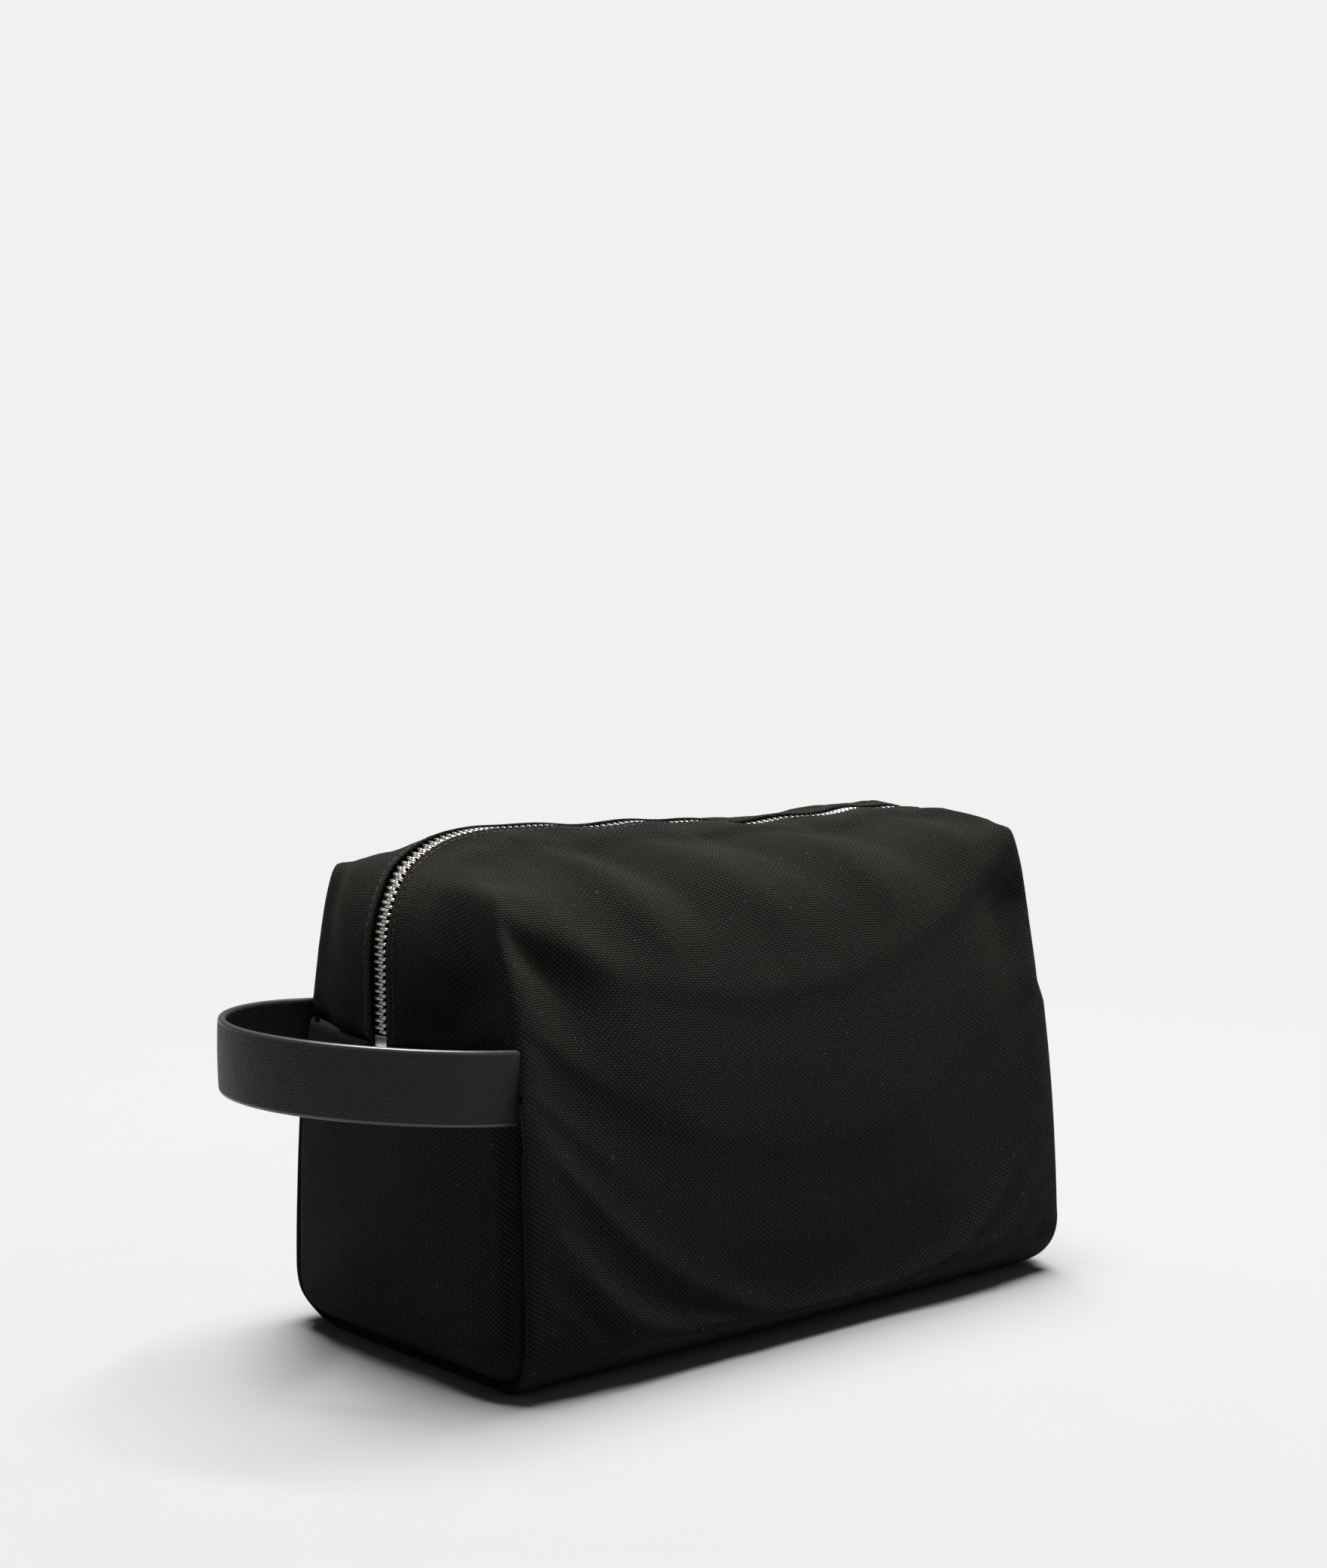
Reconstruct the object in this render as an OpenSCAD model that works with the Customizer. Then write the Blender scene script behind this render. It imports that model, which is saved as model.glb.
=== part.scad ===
// Boxy canvas wash bag for shaving things, standing on its base.
// X runs along the bag (the end with the handle is at -X), Y from the front panel (-Y) to the
// back panel (+Y), Z up. The origin is the middle of the base, on the surface the bag stands on.

/* [Bag] */
// Length of the body between its corner seams
body_length = 254; // [230:1:280]
// How far each end bulges past its corner seams
end_bulge = 10; // [6:1:14]
// Depth at the base
base_depth = 138; // [132:1:144]
// Depth at the top corners
top_depth = 90; // [86:1:100]
// Height of the top corners
corner_height = 166; // [160:1:172]
// Height of the zip's crest
crest_height = 175; // [172:1:182]
// Radius of the rounded lower edges
base_radius = 20; // [14:1:22]
// Radius of the upper front and back edges
shoulder_radius = 10; // [6:1:14]
// Thickness of the canvas with its backing
canvas = 1.4; // [1.2:0.1:1.5]
// Thickness of the lining
lining = 0.5; // [0.3:0.1:0.6]

/* [Opening] */
// Height of the zip's two ends, where the two upper halves turn
pivot_height = 110; // [106:1:114]
// How far each upper half opens, in degrees
open_angle = 24; // [12:1:24]
// Radius of the zip where it turns over each end
zip_radius = 34; // [28:1:38]

/* [Zip] */
// Half the width of the closed chain
chain_half = 2.95; // [2.6:0.05:3]
// Distance between the teeth of one side
tooth_pitch = 2.45; // [2.3:0.05:2.6]
// Size of a tooth along the chain
tooth_length = 1.25; // [1:0.05:1.4]
// Thickness of the chain
tooth_depth = 2.2; // [2:0.1:2.4]
// Distance from the zip's middle to the outer edge of its tape
tape_half = 13; // [11:0.5:14]
// Thickness of the tape
tape = 0.7; // [0.5:0.1:0.8]
// Length of the slider
slider_length = 12; // [10:0.5:13]
// Half the width of the slider
slider_half = 4.4; // [4.2:0.1:4.5]
// Length of the pull
pull_length = 30; // [26:1:36]

/* [Handle] */
// Width of the leather strap
strap_width = 25; // [20:1:28]
// Thickness of the strap, both layers together
strap_thickness = 2.6; // [2.2:0.1:3]
// Height of the middle of the strap
strap_height = 105; // [102:1:107]
// How far the strap stands out from its seams
strap_reach = 63; // [56:1:66]
// How far the strap turns up or down, in degrees
strap_swing = 25; // [10:1:25]

/* [Hidden] */
$fn = 72;
far = 600;              // longer than the bag, for cutting
ply_gap = 0.2;          // air between two layers of cloth
lap = 3.1;              // the upper halves' ends lie this far inside the lower end panels
slack = 0.45;           // air round what turns inside the lower body
arc_steps = 8;          // flats on each rounded edge
end_steps = 14;         // flats across each bulged end

lean = atan((base_depth - top_depth) / 2 / corner_height);
roof_slope = atan((crest_height - corner_height) / (top_depth / 2));
end_x = body_length / 2 + end_bulge;
end_round = (pow(base_depth / 2, 2) + pow(end_bulge, 2)) / (2 * end_bulge);
lower_canvas = canvas + ply_gap;

// Where the surface of a wall lies: the angle of its normal, and its distance from the origin
wall_distance = base_depth / 2 * cos(lean);
roof_distance = crest_height * cos(roof_slope);
skirt_radius = wall_distance - lower_canvas - pivot_height * sin(lean) - slack;
ledge_height = pivot_height + skirt_radius * tan(open_angle) + 1;

zip_face = end_x - lap;                       // outer face of the upper end flaps
canvas_slot = slider_half + 0.5;              // half the gap between the canvas edges
lining_slot = canvas_slot + 0.6;
tape_top = canvas + ply_gap;                  // depth of the tape's outer face below the canvas face
chain_depth = tape_top + tape / 2;            // depth of the middle of the chain
lining_top = tape_top + tape + ply_gap;
chain_face = zip_face - chain_depth;          // middle of the chain on the two ends
chain_round = zip_radius - chain_depth;
tooth_gap = 0.45;                             // from the zip's middle to the tip of a tooth
first_tooth = 1.5;                            // height of the first tooth over the pivot

slider_top = pivot_height - 0.4;
slider_plate = 1.2;
plate_gap = tooth_depth / 2 + 0.25;           // from the chain's middle to a plate
bridge_half = 1.5;
pull_x = end_x + 1.2;                         // hinge of the pull
pull_z = slider_top - slider_length + 3;
pull_bar = 0.8;
pull_half = 3.9;
pull_window = 10;
pull_thickness = 1.6;

strap_y = 51;                                 // middle of each leg of the strap
leg_inside = strap_y - strap_thickness / 2;
tab_start = end_x - end_round + sqrt(pow(end_round, 2) - pow(leg_inside, 2)) + 0.2;
tab_length = 2.4;
strap_pivot = tab_start + tab_length + 0.3;   // where the legs bend, beside the corner seams
strap_point = strap_width / 2 * tan(strap_swing + 1);

// ---- outlines ----

function unit(a) = [cos(a), sin(a)];

// The point that lies d1 along direction a1 and d2 along direction a2
function meet(a1, d1, a2, d2) =
    [d1 * sin(a2) - d2 * sin(a1), d2 * cos(a1) - d1 * cos(a2)] / sin(a2 - a1);

// A rounded corner between two straight edges, given by their normals and distances
function corner(a1, d1, a2, d2, r) =
    let (c = meet(a1, d1 - r, a2, d2 - r))
    [for (i = [0:arc_steps]) c + r * unit(a1 + (a2 - a1) * i / arc_steps)];

function mirrored(points) =
    concat(points, [for (i = [len(points) - 1:-1:0]) [-points[i].x, points[i].y]]);

// The body's cross-section, depth by height, o inside its outer face
function section(o) = mirrored(concat(
    corner(-90, -o, lean, wall_distance - o, base_radius - o),
    corner(lean, wall_distance - o, 90 - roof_slope, roof_distance - o, shoulder_radius - o),
    [[0, (roof_distance - o) / cos(roof_slope)]]
));

// The body seen from above, o inside its outer face
function plan(o) =
    let (half = asin(base_depth / 2 / end_round), r = end_round - o, c = end_x - end_round)
    concat(
        [for (i = [0:end_steps]) [c, 0] + r * unit(-half + 2 * half * i / end_steps)],
        [for (i = [0:end_steps]) [-c, 0] - r * unit(-half + 2 * half * i / end_steps)]
    );

// The upper body seen from the front, with the curve that the zip follows
function profile(o) = mirrored(concat(
    [[zip_face - o, 0]],
    corner(0, zip_face - o, 90, crest_height - o, zip_radius - o)
));

// ---- solids that the cloth pieces are cut from ----

module along_x(length = far) rotate([90, 0, 90]) linear_extrude(length, center = true) children();

module along_y(length = far) rotate([90, 0, 0]) linear_extrude(length, center = true) children();

module below(z) translate([-far / 2, -far / 2, z - far]) cube(far);

module above(z) translate([-far / 2, -far / 2, z]) cube(far);

module beside(y) translate([-far / 2, y, -far / 2]) cube(far);

module lower_space(o) {
    intersection() {
        along_x() polygon(section(o));
        linear_extrude(far) polygon(plan(o));
    }
}

// The space under the two upper halves. Below the ledge it narrows to a drum about the pivot,
// so that it can turn down inside the lower walls.
module upper_space(o) {
    intersection() {
        union() {
            intersection() {
                along_x() polygon(section(o));
                above(ledge_height + o);
            }
            intersection() {
                translate([0, 0, pivot_height])
                    rotate([0, 90, 0]) cylinder(r = skirt_radius - o, h = far, center = true);
                below(ledge_height + o + 0.01);
            }
        }
        linear_extrude(far) polygon(plan(lap + o));
        along_y() polygon(profile(o));
    }
}

// One layer of an upper half, on the side of +Y, from depth o1 to o2 and y or more from the zip
module upper_layer(o1, o2, y) {
    intersection() {
        difference() {
            upper_space(o1);
            upper_space(o2);
        }
        beside(y);
        above(pivot_height + 0.3);
    }
}

module front() mirror([0, 1, 0]) children();

module near() mirror([1, 0, 0]) children();

// ---- canvas and lining ----

module body_wrap() color("#1d1c1b") {
    intersection() {
        difference() {
            lower_space(0);
            along_x() polygon(section(lower_canvas));
        }
        below(pivot_height);
    }
}

module end_panel() color("#1d1c1b") {
    difference() {
        intersection() {
            difference() {
                linear_extrude(pivot_height) polygon(plan(0));
                translate([0, 0, -1]) linear_extrude(far) polygon(plan(lower_canvas));
            }
            along_x() polygon(section(lower_canvas + 0.1));
            translate([0, -far / 2, 0]) cube(far);
        }
        // the gap that the zip's end and the slider sit in
        translate([0, -canvas_slot - 1, slider_top - slider_length - 6]) cube([far, 2 * canvas_slot + 2, far]);
    }
}

module end_panel_near() near() end_panel();

module end_panel_far() end_panel();

module lining_base() color("#3a3733") {
    intersection() {
        difference() {
            lower_space(lower_canvas + ply_gap);
            lower_space(lower_canvas + ply_gap + lining);
        }
        below(pivot_height - skirt_radius * sin(open_angle) - 2);
    }
}

module upper_panel() color("#1d1c1b") upper_layer(0, canvas, canvas_slot);

module upper_lining() color("#3a3733") upper_layer(lining_top, lining_top + lining, lining_slot);

module front_upper_panel() front() upper_panel();

module back_upper_panel() upper_panel();

module lining_front() front() upper_lining();

module lining_back() upper_lining();

// ---- zip ----

// The tape's lower ends are cut on a slope, so that they stay above the pivot when the bag opens
module upper_tape() color("#141414") {
    difference() {
        upper_layer(tape_top, tape_top + tape, chain_half + 0.05);
        beside(tape_half);
        along_x() polygon([
            [0, pivot_height - 5],
            [0, pivot_height + 0.1],
            [far, pivot_height + 0.1 + far * tan(open_angle + 2)],
            [far, pivot_height - 5]
        ]);
    }
}

module zip_tape_front() front() upper_tape();

module zip_tape_back() upper_tape();

module end_tape() color("#141414") {
    intersection() {
        linear_extrude(far) difference() {
            polygon(plan(lap + tape_top));
            polygon(plan(lap + tape_top + tape));
        }
        translate([0, -tape_half, pivot_height - 22]) cube([far, 2 * tape_half, 21.8]);
    }
}

// The fixed tape leaves room for the teeth or the stop that are clamped on it
module zip_end_tape_near() near() difference() {
    end_tape();
    translate([0, -chain_half - 0.4, pivot_height - 4.2]) cube([far, 2 * chain_half + 0.8, far]);
}

module zip_end_tape_far() difference() {
    end_tape();
    translate([0, -chain_half - 0.05, slider_top - slider_length - 3.5])
        cube([far, 2 * chain_half + 0.1, far]);
}

// A tooth on the side of +Y, with its length along Z and its depth along X
module tooth() {
    translate([-tooth_depth / 2, tooth_gap, -tooth_length / 2])
        cube([tooth_depth, chain_half - tooth_gap, tooth_length]);
}

// How far along the chain a point lies from the first tooth: up the end, over the curve, along the top
rise = crest_height - zip_radius - pivot_height - first_tooth;
curve = chain_round * PI / 2;
straight = 2 * (zip_face - zip_radius);
tooth_count = floor((2 * rise + 2 * curve + straight) / tooth_pitch);
tooth_step = (2 * rise + 2 * curve + straight) / tooth_count;

// Places its children s along the first half of the chain, from the handle's end to the middle
module on_chain(s) {
    turn = min(max(s - rise, 0), curve) / curve * 90;
    translate([
        -(zip_face - zip_radius) + max(s - rise - curve, 0),
        0,
        pivot_height + first_tooth + min(s, rise)
    ])
        rotate([0, turn, 0]) translate([-chain_round, 0, 0]) children();
}

module teeth() color("#c9c9cc") {
    for (i = [0:tooth_count - 1]) {
        s = (i + 0.5) * tooth_step;
        half = rise + curve + straight / 2;
        if (s <= half) on_chain(s) tooth();
        else near() on_chain(2 * half - s) tooth();
    }
}

module zip_teeth_front() front() teeth();

module zip_teeth_back() teeth();

// The last teeth, which the closed slider covers
module zip_end_teeth() color("#c9c9cc") {
    for (side = [0, 1], i = [0:floor(slider_length / tooth_pitch) - 1])
        translate([chain_face, 0, slider_top - 1.2 - i * tooth_pitch]) mirror([0, side, 0]) tooth();
}

module zip_bottom_stop() color("#c9c9cc") {
    translate([-chain_face - tooth_depth / 2, -chain_half - 0.3, pivot_height - 4])
        cube([tooth_depth, 2 * chain_half + 0.6, 3.9]);
}

module zip_top_stops() color("#c9c9cc") {
    for (side = [-1, 1])
        translate([chain_face, side * (tooth_gap + chain_half) / 2, slider_top - slider_length - 1.8])
            cube([tooth_depth, chain_half - tooth_gap, 2.8], center = true);
}

module slider_body() color("#c9c9cc") {
    translate([chain_face, 0, slider_top - slider_length]) {
        for (side = [-1, 1]) {
            // a plate over and a plate under the chain
            translate([side * (plate_gap + slider_plate / 2) - slider_plate / 2, -slider_half, 0])
                cube([slider_plate, 2 * slider_half, slider_length]);
            // rims that hold the teeth in, with a slot for the tape between them
            for (edge = [-1, 1])
                translate([
                    side * (plate_gap + tape / 2 + slack) / 2,
                    edge * (slider_half + chain_half + 0.4) / 2,
                    slider_length / 2
                ])
                    cube([
                        plate_gap - tape / 2 - slack + 0.02,
                        slider_half - chain_half - 0.4,
                        slider_length
                    ], center = true);
        }
        // the divider that joins the plates and parts the two rows of teeth
        translate([-plate_gap - 0.01, -tooth_gap / 2, 0.5]) cube([2 * plate_gap + 0.02, tooth_gap, 4]);
    }
}

module slider_bridge() color("#c9c9cc") {
    plate_x = chain_face + plate_gap + slider_plate;
    bridge_x = pull_x + pull_bar + 0.3;
    translate([0, bridge_half, 0]) along_y_wall(2 * bridge_half) difference() {
        translate([plate_x, slider_top - slider_length + 0.8])
            square([bridge_x + 1.2 - plate_x, slider_length - 1.6]);
        translate([plate_x - 1, slider_top - slider_length + 1.9])
            square([bridge_x + 1 - plate_x, slider_length - 3.8]);
    }
}

// Stands an outline drawn as length by height up on edge, with its thickness towards -Y
module along_y_wall(thickness) rotate([90, 0, 0]) linear_extrude(thickness) children();

module pull_tab() color("#c9c9cc") {
    translate([pull_x, 0, pull_z]) {
        rotate([90, 0, 0]) cylinder(r = pull_bar, h = 2 * pull_half, center = true);
        difference() {
            rotate([0, 90, 0]) linear_extrude(pull_thickness, center = true) union() {
                translate([0, -pull_half]) square([pull_length - pull_half, 2 * pull_half]);
                translate([pull_length - pull_half, 0]) circle(pull_half);
            }
            translate([-5, -bridge_half - 0.4, -pull_window])
                cube([10, 2 * bridge_half + 0.8, pull_window - pull_bar]);
        }
    }
}

// ---- handle ----

// The loop's outline as a block: straight legs from the seams and a half round at the far end
module loop_block(y) {
    bend_x = strap_y - strap_reach - body_length / 2;
    translate([bend_x, 0, strap_height]) {
        cylinder(r = y, h = strap_width, center = true);
        translate([0, -y, -strap_width / 2]) cube([-bend_x, 2 * y, strap_width]);
    }
}

// One layer of the strap between two distances from the bag's middle plane. Each leg ends in a
// point at the axis that it bends about, so that it can turn beside the seam.
module strap_layer(y1, y2) color("#262524") {
    intersection() {
        difference() {
            loop_block(y2);
            loop_block(y1);
        }
        translate([0, 0, strap_height]) along_y() polygon([
            [-far / 2, -strap_width],
            [-strap_pivot - 2 * strap_point, -strap_width],
            [-strap_pivot, 0],
            [-strap_pivot - 2 * strap_point, strap_width],
            [-far / 2, strap_width]
        ]);
    }
}

module handle_strap_outer() strap_layer(strap_y + 0.05, strap_y + strap_thickness / 2);

module handle_strap_inner() strap_layer(leg_inside, strap_y - 0.05);

// The end of the strap where it enters the corner seam
module handle_tab() color("#262524") {
    translate([-tab_start - tab_length, leg_inside, strap_height - strap_width / 2])
        cube([tab_length, strap_thickness, strap_width]);
}

module handle_tab_front() front() handle_tab();

module handle_tab_back() handle_tab();

body_wrap();
end_panel_near();
end_panel_far();
lining_base();
zip_end_tape_near();
zip_end_tape_far();
zip_bottom_stop();
zip_top_stops();
zip_end_teeth();
handle_tab_front();
handle_tab_back();
front_upper_panel();
lining_front();
zip_tape_front();
zip_teeth_front();
back_upper_panel();
lining_back();
zip_tape_back();
zip_teeth_back();
slider_body();
slider_bridge();
pull_tab();
handle_strap_outer();
handle_strap_inner();
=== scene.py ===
"""Looks of a boxy canvas wash bag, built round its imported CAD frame.

The bag stands on its base with its length along X, its front panel towards -Y and its handle at -X.
All sizes are in metres.
"""

from __future__ import annotations

import logging
import math
from dataclasses import dataclass, field
from enum import Enum

import bmesh
import bpy
import numpy as np
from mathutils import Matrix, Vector


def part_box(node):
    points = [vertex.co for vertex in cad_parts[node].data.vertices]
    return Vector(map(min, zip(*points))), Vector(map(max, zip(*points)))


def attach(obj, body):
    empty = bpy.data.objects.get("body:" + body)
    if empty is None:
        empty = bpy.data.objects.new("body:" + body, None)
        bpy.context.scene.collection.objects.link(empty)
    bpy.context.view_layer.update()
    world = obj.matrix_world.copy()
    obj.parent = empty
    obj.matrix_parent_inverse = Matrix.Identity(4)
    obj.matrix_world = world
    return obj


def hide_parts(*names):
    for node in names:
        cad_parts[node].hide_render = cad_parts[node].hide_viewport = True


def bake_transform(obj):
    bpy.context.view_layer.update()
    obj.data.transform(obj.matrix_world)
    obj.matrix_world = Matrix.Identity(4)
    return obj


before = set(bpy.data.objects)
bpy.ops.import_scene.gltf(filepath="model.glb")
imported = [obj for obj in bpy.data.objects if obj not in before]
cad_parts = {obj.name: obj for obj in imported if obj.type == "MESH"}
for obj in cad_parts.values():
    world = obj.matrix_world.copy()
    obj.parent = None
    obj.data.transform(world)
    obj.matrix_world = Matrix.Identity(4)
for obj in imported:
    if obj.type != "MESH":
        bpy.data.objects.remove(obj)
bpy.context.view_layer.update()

log = logging.getLogger("wash_bag")

Colour = tuple[float, float, float]
Point = tuple[float, float, float]
Socket = bpy.types.NodeSocket
Material = bpy.types.Material
Piece = bpy.types.Object


class Named(Enum):
    """A choice that the CAD nodes' names spell out."""

    @property
    def word(self) -> str:
        """Its name, as the CAD nodes spell it."""
        return self.name.lower()


class Side(Named):
    """The two halves that part at the zip, by the sign of Y that they lie on."""

    FRONT = -1
    BACK = 1

    @property
    def body(self) -> str:
        """Name of the CAD body of this side's upper half."""
        return f"{self.word}_side"


class End(Named):
    """The two ends of the bag, by the sign of X."""

    NEAR = -1
    FAR = 1


# ---- Small tools for meshes ----


def smoothstep(t: np.ndarray | float) -> np.ndarray | float:
    """Rises smoothly from 0 to 1 as t does."""
    t = np.clip(t, 0.0, 1.0)
    return t * t * (3.0 - 2.0 * t)


def bump_at(x: np.ndarray, centre: float, width: float) -> np.ndarray:
    """A soft bump of height 1 at centre, about width wide to each side."""
    return np.exp(-(((x - centre) / width) ** 2))


def quad_faces(rows: int, columns: int) -> np.ndarray:
    """Faces of a grid of points stored row by row.

    Args:
        rows: Number of rows of points.
        columns: Number of points in a row.

    Returns:
        One row of four point indices for each face.
    """
    index = np.arange(rows * columns).reshape(rows, columns)
    return np.stack([index[:-1, :-1], index[1:, :-1], index[1:, 1:], index[:-1, 1:]], -1).reshape(-1, 4)


def link_mesh(name: str, points: np.ndarray, edges: list, faces: list | np.ndarray) -> Piece:
    """Makes a smooth-shaded mesh object at the origin.

    Args:
        name: Name of the piece.
        points: Positions, one row each.
        edges: Loose edges, as pairs of point indices.
        faces: Point indices of each face.

    Returns:
        The new object, linked to the scene.
    """
    mesh = bpy.data.meshes.new(name)
    mesh.from_pydata([tuple(map(float, p)) for p in points], edges, [tuple(map(int, f)) for f in faces])
    mesh.polygons.foreach_set("use_smooth", np.ones(len(mesh.polygons), bool))
    piece = bpy.data.objects.new(name, mesh)
    bpy.context.scene.collection.objects.link(piece)
    return piece


def make_object(name: str, points: np.ndarray, faces: np.ndarray, places: np.ndarray | None = None) -> Piece:
    """Makes a mesh object of four-sided faces.

    Args:
        name: Name of the piece.
        points: Positions, one row each.
        faces: Point indices, one row for each face.
        places: Place on the flat cloth of each face's corners, in metres.

    Returns:
        The new object, linked to the scene.
    """
    piece = link_mesh(name, points, [], faces)
    if places is not None:
        layer = piece.data.uv_layers.new(name="cloth")
        layer.data.foreach_set("uv", np.asarray(places, np.float32).ravel())
    return piece


def finish_mesh(piece: Piece, *modifiers: tuple[str, dict]) -> Piece:
    """Puts modifiers on a piece and applies them.

    Args:
        piece: The object to finish.
        modifiers: Type and settings of each modifier, in order.

    Returns:
        The same object with its new mesh and no modifiers.
    """
    for kind, settings in modifiers:
        modifier = piece.modifiers.new(kind.lower(), kind)
        for key, value in settings.items():
            setattr(modifier, key, value)
    graph = bpy.context.evaluated_depsgraph_get()
    done = bpy.data.meshes.new_from_object(piece.evaluated_get(graph), depsgraph=graph)
    old = piece.data
    piece.modifiers.clear()
    piece.data = done
    done.name = piece.name
    bpy.data.meshes.remove(old)
    return piece


def subdivision(levels: int) -> tuple[str, dict]:
    """Settings of a Subdivision Surface modifier."""
    return "SUBSURF", {"levels": levels, "render_levels": levels, "boundary_smooth": "PRESERVE_CORNERS"}


def thickness(depth: float) -> tuple[str, dict]:
    """Settings of a Solidify modifier that grows a sheet inwards."""
    return "SOLIDIFY", {"thickness": depth, "offset": -1.0, "use_even_offset": False}


def bend_at_side(piece: Piece) -> None:
    """Bakes a piece's placement into its mesh, leaving it on no body."""
    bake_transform(piece)


def dress(
    piece: Piece,
    finish: Material,
    nodes: tuple[str, ...] = (),
    side: Side | None = None,
    body: str = "bag",
) -> None:
    """Gives a piece its finish and its body, and hides the CAD nodes that it stands for; a piece given a
    side gets no body.

    Args:
        piece: The piece.
        finish: Its material.
        nodes: CAD nodes that it replaces.
        side: The side whose upper half it belongs to, for a piece that crosses the fold; such a piece only
            has its placement baked.
        body: The body that it rides on otherwise.
    """
    piece.data.materials.append(finish)
    if side is None:
        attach(piece, body)
    else:
        bend_at_side(piece)
    if nodes:
        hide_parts(*nodes)


def relax(points: np.ndarray, faces: np.ndarray, strength: np.ndarray, steps: int) -> np.ndarray:
    """Rounds a mesh by moving each point towards the middle of its neighbours.

    Args:
        points: Positions, one row each.
        faces: Four-sided faces.
        strength: How far each point moves in a step, from 0 to 1.
        steps: Number of steps.

    Returns:
        The new positions.
    """
    edges = np.concatenate([faces[:, [k, (k + 1) % 4]] for k in range(4)])
    edges = np.unique(np.sort(edges, axis=1), axis=0)
    count = np.zeros(len(points))
    np.add.at(count, edges.ravel(), 1)
    points = points.copy()
    for _ in range(steps):
        total = np.zeros_like(points)
        np.add.at(total, edges[:, 0], points[edges[:, 1]])
        np.add.at(total, edges[:, 1], points[edges[:, 0]])
        points += strength[:, None] * (total / count[:, None] - points)
    return points


# ---- Finishes ----


class Nodes:
    """Builds a material's node tree with short calls."""

    def __init__(self, name: str) -> None:
        """Starts a material with a Principled shader.

        Args:
            name: Name of the material.
        """
        self.material = bpy.data.materials.new(name)
        self.material.use_nodes = True
        self.tree = self.material.node_tree
        self.shader = self.tree.nodes["Principled BSDF"]

    def add(self, kind: str, **settings: object) -> bpy.types.Node:
        """Adds a node.

        Args:
            kind: Node type, without its ShaderNode prefix.
            settings: Node properties to set.

        Returns:
            The new node.
        """
        node = self.tree.nodes.new("ShaderNode" + kind)
        for key, value in settings.items():
            setattr(node, key, value)
        return node

    def put(self, target: Socket, value: object) -> None:
        """Links an output to a socket, or sets the socket's value."""
        if isinstance(value, Socket):
            self.tree.links.new(value, target)
        else:
            target.default_value = value

    def math(self, operation: str, *values: object, clamp: bool = False) -> Socket:
        """Adds a Math node.

        Args:
            operation: The Math node's operation.
            values: Its inputs, as numbers or outputs.
            clamp: Keeps the result from 0 to 1.

        Returns:
            Its output.
        """
        node = self.add("Math", operation=operation, use_clamp=clamp)
        for target, value in zip(node.inputs, values):
            self.put(target, value)
        return node.outputs[0]

    def noise(self, where: object, scale: float, detail: float = 2.0, roughness: float = 0.5) -> Socket:
        """Adds a Noise Texture and returns its value."""
        node = self.add("TexNoise")
        self.put(node.inputs["Vector"], where)
        self.put(node.inputs["Scale"], scale)
        self.put(node.inputs["Detail"], detail)
        self.put(node.inputs["Roughness"], roughness)
        return node.outputs["Fac"]

    def ramp(self, value: object, *stops: tuple[float, Colour]) -> Socket:
        """Adds a Color Ramp.

        Args:
            value: What the ramp reads.
            stops: Place and colour of each stop, in order.

        Returns:
            Its colour.
        """
        node = self.add("ValToRGB")
        self.put(node.inputs[0], value)
        band = node.color_ramp
        while len(band.elements) < len(stops):
            band.elements.new(1.0)
        for element, (place, colour) in zip(band.elements, stops):
            element.position = place
            element.color = (*colour, 1.0)
        return node.outputs[0]

    def mix(self, factor: object, first: object, second: object) -> Socket:
        """Mixes two colours and returns the result."""
        node = self.add("Mix", data_type="RGBA")
        self.put(node.inputs[0], factor)
        for target, value in ((node.inputs[6], first), (node.inputs[7], second)):
            if isinstance(value, tuple) and len(value) == 3:
                value = (*value, 1.0)
            self.put(target, value)
        return node.outputs[2]

    def bump(self, height: object, distance: float) -> Socket:
        """Adds a Bump node.

        Args:
            height: What it reads as height.
            distance: Height of a full step, in metres.

        Returns:
            The bumped normal.
        """
        node = self.add("Bump")
        self.put(node.inputs["Height"], height)
        self.put(node.inputs["Distance"], distance)
        self.put(node.inputs["Strength"], 1.0)
        return node.outputs["Normal"]

    def place(self) -> Socket:
        """Position on the object, in metres."""
        return self.add("TexCoord").outputs["Object"]

    def cloth(self) -> Socket:
        """Position on the flat cloth, in metres."""
        return self.add("UVMap", uv_map="cloth").outputs[0]

    def split(self, vector: object) -> tuple[Socket, ...]:
        """The three parts of a vector."""
        node = self.add("SeparateXYZ")
        self.put(node.inputs[0], vector)
        return tuple(node.outputs)

    def set(self, **values: object) -> None:
        """Sets or links the shader's inputs, named with underscores for spaces."""
        for key, value in values.items():
            if isinstance(value, tuple) and len(value) == 3:
                value = (*value, 1.0)
            self.put(self.shader.inputs[key.replace("_", " ")], value)


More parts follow.
